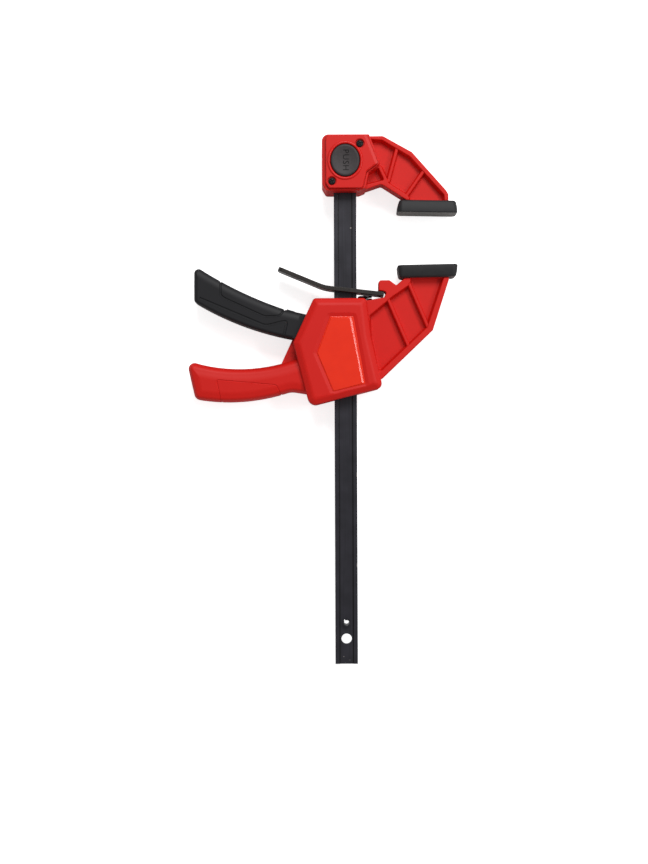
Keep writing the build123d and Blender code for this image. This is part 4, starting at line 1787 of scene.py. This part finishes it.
PIVOT = (11.4, -42.0)  # the trigger's pin
COVER = (
    (-24.0, -25.4, 3.0),
    (-39.6, -58.8, 2.0),
    (-27.3, -106.9, 6.0),
    (27.8, -92.9, 4.5),
    (19.0, -53.7, 6.0),
    (15.7, -25.4, 3.5),
)
LABEL = (
    (-11.6, -39.3, 0.8),
    (-21.7, -66.8, 0.8),
    (-9.6, -95.6, 0.8),
    (14.6, -89.9, 0.8),
    (5.8, -39.3, 0.8),
)
LABEL_FACE = (
    (-11.0, -40.3, 0.8),
    (-21.0, -66.8, 0.8),
    (-9.2, -95.0, 0.8),
    (12.0, -89.6, 0.8),
    (2.8, -40.6, 0.8),
)


@dataclass(frozen=True)
class MovingJaw:
    """The sliding jaw: arm, core, handle, covers, label, screws, pad and brake spring."""

    finishes: Finishes
    screw_places: tuple[Point, ...] = ((-17.0, -31.4), (-27.5, -77.0), (19.5, -80.0), (-21.5, -97.5))
    screw_seat: float = SIDE - 2.5
    screw_end: float = SIDE - 2.6  # how far the screws reach into the front cover
    screw_way: float = 13.0  # half the length of the holes through the core
    screw_post: float = 4.6  # radius, and so are the next three
    pin_post: float = 4.5
    pin_way: float = 2.53
    spring_way: float = 5.8
    spring_way_ends: Point = (-33.5, -15.0)
    spring_x: float = 14.9
    bar_way_ends: Point = (-125.0, -5.0)
    pin_cover: float = 2.4
    cover_skin: float = 2.5
    cover_wall: float = 7.5  # measured at its bevelled edge
    cover_edge: float = 1.5  # height of its upright side
    edge_round: float = 2.2  # radius from that side into the bevel
    bevel: float = 31.0  # slope in degrees
    crown_round: float = 5.5  # radius from the bevel into the face
    recess: float = 0.9  # depth of the label's recess
    web_half: float = 3.4
    core_inset: float = 0.6  # from the covers' edge

    def arm(self) -> bpy.types.Object:
        """Makes the ribbed arm with its hook.

        Returns:
            The new object.
        """
        outline = Outline(
            (
                (44.8, -9.8, 0.4),
                (38.4, -15.4, 1.2),
                (33.3, -11.5, 1.6),
                (26.4, -11.5, 1.2),
                (25.0, -12.9, 1.2),
                (25.0, -19.4, 0.8),
                (28.1, -19.7, 0.5),
                (30.9, -20.6, 1.2),
                (29.3, -24.4, 0.8),
                (16.9, -26.6, 0.5),
                (9.5, -26.0, 0.5),
                (6.5, -92.0, 0.5),
                (18.5, -92.0, 0.5),
                (28.5, -85.2, 1.5),
                (66.0, -49.4, 3.0),
                (78.2, -11.1, 1.0),
                (78.3, -9.2, 0.4),
            )
        )
        bay = Outline(
            (
                (49.4, -8.0, 0.0),
                (49.0, -13.0, 1.0),
                (47.2, -15.9, 1.2),
                (34.5, -24.6, 1.2),
                (19.4, -37.3, 0.8),
                (18.1, -38.2, 0.8),
                (18.7, -53.7, 2.0),
                (24.1, -79.4, 0.8),
                (27.1, -79.8, 0.8),
                (61.7, -47.2, 2.0),
                (74.9, -8.0, 0.0),
            )
        )
        ribs = (((47.6, -12.8), (62.7, -48.0)), ((31.9, -25.0), (48.3, -63.2)))
        return Arm("moving_jaw_moulding", MOVING, outline, (bay,), ribs, -1).build()

    def handle(self) -> bpy.types.Object:
        """Makes the fixed handle with its rounded back.

        Returns:
            The new object.
        """
        root_top, root_low = (-34.5, -69.8), (-28.5, -97.6)
        tip, heel, waist = (-120.5, -71.4), (-113.7, -101.0), (-41.5, -95.5)
        upper = arc(root_top, (-77.0, -78.1), tip)[:-1]  # the last one would lie within the rounded tip
        lower = arc(heel, (-83.6, -103.2), waist)
        corners = (
            (*root_top, 0.0),
            *upper,
            (*tip, 4.6),
            (*heel, 5.0),
            *lower,
            (*waist, 14.0),
            (*root_low, 0.0),
        )
        shares = (1.0,) * (len(upper) + 1) + (0.75,) + (0.8,) * (len(lower) + 2) + (0.0,)
        half = CORE_HALF
        side = (0.0, half - 6.6)
        brow = [  # a round shoulder that runs out flat
            side,
            *bend(side, (5.2, half - 0.75), wall_first=True, steps=9),
            (6.2, half - 0.5),
            (7.2, half - 0.29),
            (8.2, half - 0.14),
            (9.1, half - 0.05),
            (10.0, half),
        ]
        return shell("handle", MOVING, Outline(corners, shares), both_faces(brow))

    def room(self) -> bpy.types.Object:
        """Makes the cutter of the room that the trigger, the plates and their spring work in.

        Returns:
            The cutter.
        """
        outline = Outline(
            (
                (16.4, -37.2, 0.0),
                (-68.5, -37.2, 0.0),
                (-68.5, -70.0, 0.0),
                (-15.5, -70.0, 0.5),
                (-15.5, -86.0, 0.5),
                (14.5, -86.0, 0.5),
                (14.5, -48.5, 0.5),
                (16.4, -46.5, 0.5),
            )
        )
        return prism("room", MOVING, outline, -CORE_HALF - OVER, CORE_HALF + OVER)

    def core(self) -> bpy.types.Object:
        """Makes the body core between the covers, hollowed for the mechanism.

        Returns:
            The new object.
        """
        piece = prism("core", MOVING, Outline(COVER), -CORE_HALF, CORE_HALF, self.core_inset)
        work(piece, [self.room()], Join.CUT)
        web = Outline(
            (
                (-49.5, -76.0, 0.0),
                (-16.0, -76.0, 0.0),
                (-16.0, -57.0, 0.0),
                (-30.0, -50.0, 0.0),
                (-38.5, -52.0, 0.5),
            )
        )
        web_profile = slab_profile(-self.web_half, self.web_half, 0.5)
        work(piece, [shell("web", MOVING, web, web_profile)], Join.ADD)
        return piece

    def frame_shape(self) -> None:
        """Joins arm, core and handle into the jaw's one moulding and cuts its ways and panel line."""
        piece = self.arm()
        work(piece, [self.room()], Join.CUT)
        work(piece, [self.core(), self.handle()], Join.ADD)
        bar_way = block(-BAR_HALF - FIT, BAR_HALF + FIT, *self.bar_way_ends)
        spring_way = circle(0, 0, self.spring_way, sides=36)
        pocket = [
            [MOVING.at(self.spring_x + x, y, z) for x, z, _ in spring_way.corners]
            for y in self.spring_way_ends
        ]
        tools = [prism("bar_way", MOVING, bar_way, -SLAB - FIT, SLAB + FIT), skin("spring_pocket", pocket)]
        tools += [Screw().way(MOVING, x, y, -self.screw_way, self.screw_way) for x, y in self.screw_places]
        work(piece, tools, Join.CUT)
        panel = ((-93.5, -105.9), (-97.4, -86.5), (-52.5, -90.5), (-47.9, -99.7))
        Groove(panel, radius=0.6, depth=0.5).cut(piece, MOVING)
        dress(piece, self.finishes.red, Body.JAW, ["moving_jaw_frame"])

    def cover_blank(self, name: str, face: int) -> bpy.types.Object:
        """Makes one cover with its bevelled edge, hollow inside.

        Args:
            name: the piece's name.
            face: 1 for the front cover, -1 for the back one.

        Returns:
            The cover without its screw holes or label recess.
        """
        low, top = CORE_HALF, SIDE
        edge = (0.0, low + self.cover_edge)
        rise = turn(edge, self.edge_round, 90.0, self.bevel)
        crown = turn((0.0, 0.0), self.crown_round, self.bevel, 0.0, steps=7)
        start = top - crown[-1][1]
        foot = rise[-1][0] + (start - rise[-1][1]) / tan(radians(self.bevel))
        profile = [
            (0.5, low + SEAM),
            (0.0, low + 0.45),
            edge,
            *rise,
            (foot, start),
            *[(foot + inset, start + z) for inset, z in crown],
        ]
        piece = shell(name, MOVING, Outline(COVER, least=2.0), faced(profile, face))
        mouth, ceiling = face * (low - OVER), face * (top - self.cover_skin)
        hollow = prism("hollow", MOVING, Outline(COVER), mouth, ceiling, inset=self.cover_wall)
        rounds = [circle(*PIVOT, self.pin_post)]
        rounds += [circle(x, y, self.screw_post) for x, y in self.screw_places]
        posts = [prism("post", MOVING, post, face * (low - 2 * OVER), face * top) for post in rounds]
        work(hollow, posts, Join.CUT)
        pin = prism("pin", MOVING, circle(*PIVOT, self.pin_way), mouth, face * (top - self.pin_cover))
        work(piece, [hollow, pin], Join.CUT)
        return piece

    def front(self) -> None:
        """Makes the front cover with the sloped recess for the label."""
        piece = self.cover_blank("front_cover_shell", 1)
        floor = SIDE - self.recess
        sink = [
            (-0.15, floor),
            (-0.4, floor + 0.16),
            (-0.85, floor + 0.34),
            (-2.6, SIDE - 0.1),
            (-2.9, SIDE + 0.03),
            (-2.9, SIDE + OVER),
        ]
        tools = [shell("recess", MOVING, Outline(LABEL), sink)]
        tools += [Screw().way(MOVING, x, y, 0, self.screw_end + FIT) for x, y in self.screw_places]
        work(piece, tools, Join.CUT)
        dress(piece, self.finishes.red, Body.JAW, ["front_cover"])

    def label(self) -> None:
        """Makes the label plate, domed towards a face that is set back most on the right."""
        floor = SIDE - self.recess
        edge, face = Outline(LABEL, steps=3).ring(), Outline(LABEL_FACE, steps=3).ring()
        profile = [
            (0.0, 0.01),
            (0.0, 0.12),
            (0.1, 0.18),
            (0.48, 0.22),
            (0.52, 0.24),
            (0.95, 0.7),
            (1.0, 0.73),
            (1.1, 0.74),
        ]
        rings = [
            [
                MOVING.at(x0 + (x1 - x0) * share, y0 + (y1 - y0) * share, floor + z)
                for (x0, y0), (x1, y1) in zip(edge, face)
            ]
            for share, z in profile
        ]
        film = skin("label_plate_film", rings)
        dress(film, self.finishes.label, Body.JAW, ["label_plate"], crease=50.0)

    def back(self) -> None:
        """Makes the rear cover with the recesses of the four screws."""
        piece = self.cover_blank("rear_cover_shell", -1)
        tools = []
        for x, y in self.screw_places:
            tools.append(Screw().sink(MOVING, x, y, self.screw_seat, SIDE, -1))
            tools.append(Screw().way(MOVING, x, y, -SIDE, 0))
        work(piece, tools, Join.CUT)
        dress(piece, self.finishes.red, Body.JAW, ["rear_cover"])

    def screws(self) -> None:
        """Makes the four screws in the back."""
        reach = self.screw_seat + self.screw_end
        for i, (x, y) in enumerate(self.screw_places):
            piece = Screw().build(f"jaw_screw_{i + 1}", MOVING, x, y, self.screw_seat, -1, reach)
            dress(piece, self.finishes.screw, Body.JAW, ["cover_screws"])

    def build(self) -> None:
        """Makes every piece of the moving jaw."""
        self.frame_shape()
        self.front()
        self.label()
        self.back()
        self.screws()
        Pad(self.finishes, "moving_pad", Body.JAW, MOVING, -1).build()
        along = Vector((0, 1, 0))
        springs = (
            Coil("brake_spring", Body.JAW, "lever_release", along, turns=4.5, wire=1.3, keep=0.8),
            Coil("drive_spring", Body.JAW, "trigger_squeeze", along, turns=5.0, wire=1.6, keep=0.85),
        )
        for spring in springs:
            spring.build(self.finishes)


# ------------------------------------------------------------------ trigger and release lever


@dataclass(frozen=True)
class Trigger:
    """The pump trigger: a rounded grip that forks round the bar."""

    finishes: Finishes
    gap_half: float = 3.9
    eye_radius: float = 4.5
    pin_way: float = 2.55  # radius
    pin_way_half: float = 13.0  # half its length
    nose: Point = (-6.0, -49.5)
    nose_radius: float = 2.0
    shoulder: Point = (6.6, 3.4)  # how far the grip is rounded across its face and down its side
    fork_rim: float = 0.4
    step_rim: float = 0.6
    step_depth: float = 2.5  # how far the step lies below the grip's faces

    def grip(self) -> bpy.types.Object:
        """Makes the rounded grip.

        Returns:
            The new object.
        """
        tip, butt = (-114.2, 0.2), (-114.2, -27.6)
        knee, cheek_top, cheek_low = (-45.0, -33.7), (-27.0, -37.8), (-33.0, -57.0)
        upper = arc(knee, (-79.9, -19.4), tip)[:-1]  # the last one would lie within the rounded tip
        lower = arc(butt, (-75.0, -46.3), cheek_low)
        corners = (
            (*butt, 4.0),
            *lower,
            (*cheek_low, 0.0),
            (*cheek_top, 0.0),
            (*knee, 0.0),
            *upper,
            (*tip, 3.4),
        )
        shares = (0.4,) * (len(lower) + 1) + (0.0, 1.0) + (1.0,) * (len(upper) + 1) + (0.5,)
        inwards, drop = self.shoulder
        side = (0.0, FORK_HALF - drop)
        brow = [side, *bend(side, (inwards, FORK_HALF), wall_first=True, steps=12)]
        return shell("trigger_moulding", MOVING, Outline(corners, shares), both_faces(brow))

    def build(self) -> None:
        """Makes the trigger in one piece, with the panel line of its grip and its finger line."""
        piece = self.grip()
        fork = Outline(
            (
                (-34.5, -38.4, 0.5),
                (-40.5, -55.0, 0.5),
                (-33.0, -57.2, 0.5),
                (-18.5, -52.5, 0.5),
                (-16.5, -47.2, 0.5),
                (-8.0, -49.3, 0.3),
                (-4.4, -50.7, 0.3),
                (11.4, -46.5, 0.3),
                (11.4, -37.5, 0.3),
                (-24.5, -37.6, 0.5),
            )
        )
        step = Outline(((-44.8, -34.9, 0.0), (-38.4, -37.4, 0.0), (-38.4, -34.9, 0.4), (-44.2, -33.2, 0.3)))
        step_half = FORK_HALF - self.step_depth
        parts = [
            shell("fork", MOVING, fork, slab_profile(-FORK_HALF, FORK_HALF, self.fork_rim)),
            prism("eye", MOVING, circle(*PIVOT, self.eye_radius), -FORK_HALF, FORK_HALF),
            prism("nose", MOVING, circle(*self.nose, self.nose_radius), -FORK_HALF, FORK_HALF),
            shell("step", MOVING, step, slab_profile(-step_half, step_half, self.step_rim)),
        ]
        work(piece, parts, Join.ADD)
        gap = Outline(
            (
                (-31.0, -30.0, 0.0),
                (-31.0, -36.0, 0.0),
                (-42.0, -39.5, 0.0),
                (-57.5, -62.0, 0.0),
                (21.4, -62.0, 0.0),
                (21.4, -30.0, 0.0),
            )
        )
        cutters = [
            prism("gap", MOVING, gap, -self.gap_half, self.gap_half),
            prism("pin_way", MOVING, circle(*PIVOT, self.pin_way), -self.pin_way_half, self.pin_way_half),
        ]
        work(piece, cutters, Join.CUT)
        panel = (
            (-94.2, -9.5),
            (-94.2, -22.6),
            (-90.9, -25.1),
            (-60.9, -38.9),
            (-49.7, -38.3),
            (-44.5, -31.5),
        )
        Groove(panel, radius=0.9, depth=0.7).cut(piece, MOVING)
        finger = ((-110.0, -24.8), (-60.2, -45.9), (-43.8, -41.8), (-46.6, -53.5))
        Groove(finger, radius=1.2, depth=0.65, over=False, ease=8).cut(piece, MOVING)
        dress(piece, self.finishes.black, Body.TRIGGER, ["trigger"], crease=18.0)


@dataclass(frozen=True)
class ReleaseLever:
    """The bent steel plate that brakes the jaw and is pressed down to free it."""

    finishes: Finishes
    hinge: Point = (27.5, -21.8)
    tilt: float = 6.6  # of its flat part, in degrees
    more: float = 16.0  # how much further its finger end turns
    flat: float = 43.7  # length from hinge to bend, and the finger's from there
    finger: float = 37.7
    bend_radius: float = 34.0
    half_width: float = 9.0
    half_thick: float = 1.5
    tip_round: float = 4.0
    edge: float = 0.3
    dulled: float = 0.15  # how much both end edges are taken off
    pitch: float = 1.5  # the longest step along it
    end_pitch: float = 0.5  # the same near its ends
    slot_gap: Point = (0.4, 0.2)

    def middle_line(self) -> list[tuple[Vector, Vector]]:
        """The plate's middle line from its hinge edge to its tip.

        Returns:
            Points and directions along the plate, 1 to 2 mm apart, closer at both ends.
        """
        first, turned = pi - radians(self.tilt), -radians(self.more)
        cut_back = self.bend_radius * tan(abs(turned) / 2)
        run = Vector((cos(first), sin(first)))
        line = []
        spot = Vector(self.hinge) - run * self.half_thick
        stretches = (
            (self.dulled, 0.0),
            (self.flat + self.half_thick - cut_back - self.dulled, 0.0),
            (self.bend_radius * abs(turned), turned),
            (self.finger - cut_back - self.tip_round, 0.0),
            (self.tip_round - self.dulled, 0.0),
            (self.dulled, 0.0),
        )
        angle = first
        for length, bent in stretches:
            pitch = self.end_pitch if length < self.tip_round else self.pitch
            steps = max(1, ceil(length / pitch))
            for _ in range(steps):
                line.append((spot.copy(), Vector((cos(angle), sin(angle)))))
                angle += bent / steps / 2
                spot = spot + Vector((cos(angle), sin(angle))) * length / steps
                angle += bent / steps / 2
        line.append((spot.copy(), Vector((cos(angle), sin(angle)))))
        return line

    def build(self) -> None:
        """Makes the lever with its rounded finger end and the slot for the bar."""
        line = self.middle_line()
        reach = [0.0]
        for (a, _), (b, _) in zip(line, line[1:]):
            reach.append(reach[-1] + (b - a).length)
        rings = []
        for (spot, along), gone in zip(line, reach):
            normal = Vector((-along.y, along.x))
            left = reach[-1] - gone
            narrow = 0.0
            if left < self.tip_round:
                narrow = self.tip_round - (self.tip_round**2 - (self.tip_round - left) ** 2) ** 0.5
            less = self.dulled if min(gone, left) < 0.01 else 0.0
            wide, thick = self.half_width - narrow - less, self.half_thick - less
            section = block(-wide, wide, -thick, thick, self.edge).ring()
            rings.append([MOVING.at(spot.x + normal.x * n, spot.y + normal.y * n, z) for z, n in section])
        piece = skin("release_lever_plate", rings)
        beside, above = self.slot_gap
        slot_way = block(-BAR_HALF - beside, BAR_HALF + beside, -45.0, 5.0)
        work(piece, [prism("slot", MOVING, slot_way, -SLAB - above, SLAB + above)], Join.CUT)
        dress(piece, self.finishes.lever, Body.LEVER, ["release_lever"], crease=40.0)


# ------------------------------------------------------------------ studio


@dataclass(frozen=True)
class Lamp:
    """A soft light that the camera doesn't see.

    Attributes:
        name: its name.
        place: where it hangs, from the middle of the clamp, in metres.
        size: its two sides, the level one first.
        watts: its power.
    """

    name: str
    place: tuple[float, float, float]
    size: tuple[float, float]
    watts: float

    def build(self, middle: Vector) -> None:
        """Hangs the lamp and turns it to the clamp.

        Args:
            middle: the middle of the clamp.
        """
        data = bpy.data.lights.new(self.name, "AREA")
        data.shape = "RECTANGLE"
        data.size, data.size_y = self.size
        data.energy = self.watts
        lamp = place_in_scene(self.name, data)
        lamp.location = middle + Vector(self.place)
        lamp.rotation_mode = "QUATERNION"
        lamp.rotation_quaternion = (-Vector(self.place)).to_track_quat("-Z", "Y")
        lamp.visible_camera = False


@dataclass(frozen=True)
class Studio:
    """A pale table, soft light and a camera that looks straight down."""

    camera_x: float = -0.0786
    camera_y: float = -0.1651
    camera_height: float = 1.150
    camera_roll: float = -0.22  # in degrees
    lens: float = 63.04
    surround: float = 0.36
    table_half: float = 4.0
    table_gap: float = 0.0001  # below the clamp
    table_glow: float = 0.72
    lamps: tuple[Lamp, ...] = (
        Lamp("key", place=(0.25, 1.25, 1.60), size=(0.9, 0.8), watts=22.0),
        Lamp("rim", place=(0.705, 0.256, 0.842), size=(0.7, 0.11), watts=3.3),
    )

    def table(self) -> None:
        """Makes the pale table top, which stays white to the camera but takes the shadow."""
        half, height = self.table_half, CAD_BOX[0].z - self.table_gap
        corners = [(-half, -half, height), (half, -half, height), (half, half, height), (-half, half, height)]
        mesh = bpy.data.meshes.new("table")
        mesh.from_pydata(corners, [], [(0, 1, 2, 3)])
        table = place_in_scene("table", mesh)
        material, tree, _ = new_material("pale_table")
        matt = add_node(tree, "ShaderNodeBsdfDiffuse", {"Color": linear("#F2F2F2")})
        glow = add_node(tree, "ShaderNodeEmission", {"Color": (1, 1, 1, 1), "Strength": self.table_glow})
        both = add_node(tree, "ShaderNodeAddShader", {0: matt.outputs[0], 1: glow.outputs[0]})
        seen = add_node(tree, "ShaderNodeLightPath").outputs["Is Camera Ray"]
        shown = add_node(tree, "ShaderNodeMixShader", {0: seen, 1: matt.outputs[0], 2: both.outputs[0]})
        add_node(tree, "ShaderNodeOutputMaterial", {"Surface": shown.outputs[0]})
        mesh.materials.append(material)

    def world(self) -> None:
        """Sets an even white surround: dim as light, white where the camera sees it."""
        world = bpy.data.worlds.new("surround")
        bpy.context.scene.world = world
        world.use_nodes = True
        tree = world.node_tree
        tree.nodes.clear()
        seen = add_node(tree, "ShaderNodeLightPath").outputs["Is Camera Ray"]
        strength = add_node(
            tree, "ShaderNodeMapRange", {"Value": seen, "To Min": self.surround, "To Max": 1.0}
        )
        light = add_node(
            tree,
            "ShaderNodeBackground",
            {"Color": (1, 1, 1, 1), "Strength": strength.outputs["Result"]},
        )
        add_node(tree, "ShaderNodeOutputWorld", {"Surface": light.outputs[0]})

    def camera(self) -> None:
        """Sets the camera straight above the clamp."""
        data = bpy.data.cameras.new("camera")
        data.lens = self.lens
        data.sensor_width = 36.0
        data.clip_end = 20.0
        camera = place_in_scene("camera", data)
        camera.location = (self.camera_x, self.camera_y, self.camera_height)
        camera.rotation_euler = (0, 0, radians(self.camera_roll))
        bpy.context.scene.camera = camera

    def build(self) -> None:
        """Makes the whole studio."""
        bpy.context.scene.view_settings.view_transform = "Standard"
        self.table()
        self.world()
        for lamp in self.lamps:
            lamp.build((CAD_BOX[0] + CAD_BOX[1]) / 2)
        self.camera()


def main() -> None:
    """Builds the clamp and its studio."""
    logging.basicConfig(level=logging.INFO, format="%(message)s")
    finishes = make_finishes()
    Bar(finishes).build()
    FixedJaw(finishes).build()
    MovingJaw(finishes).build()
    Trigger(finishes).build()
    ReleaseLever(finishes).build()
    Studio().build()


if __name__ == "__main__":
    main()
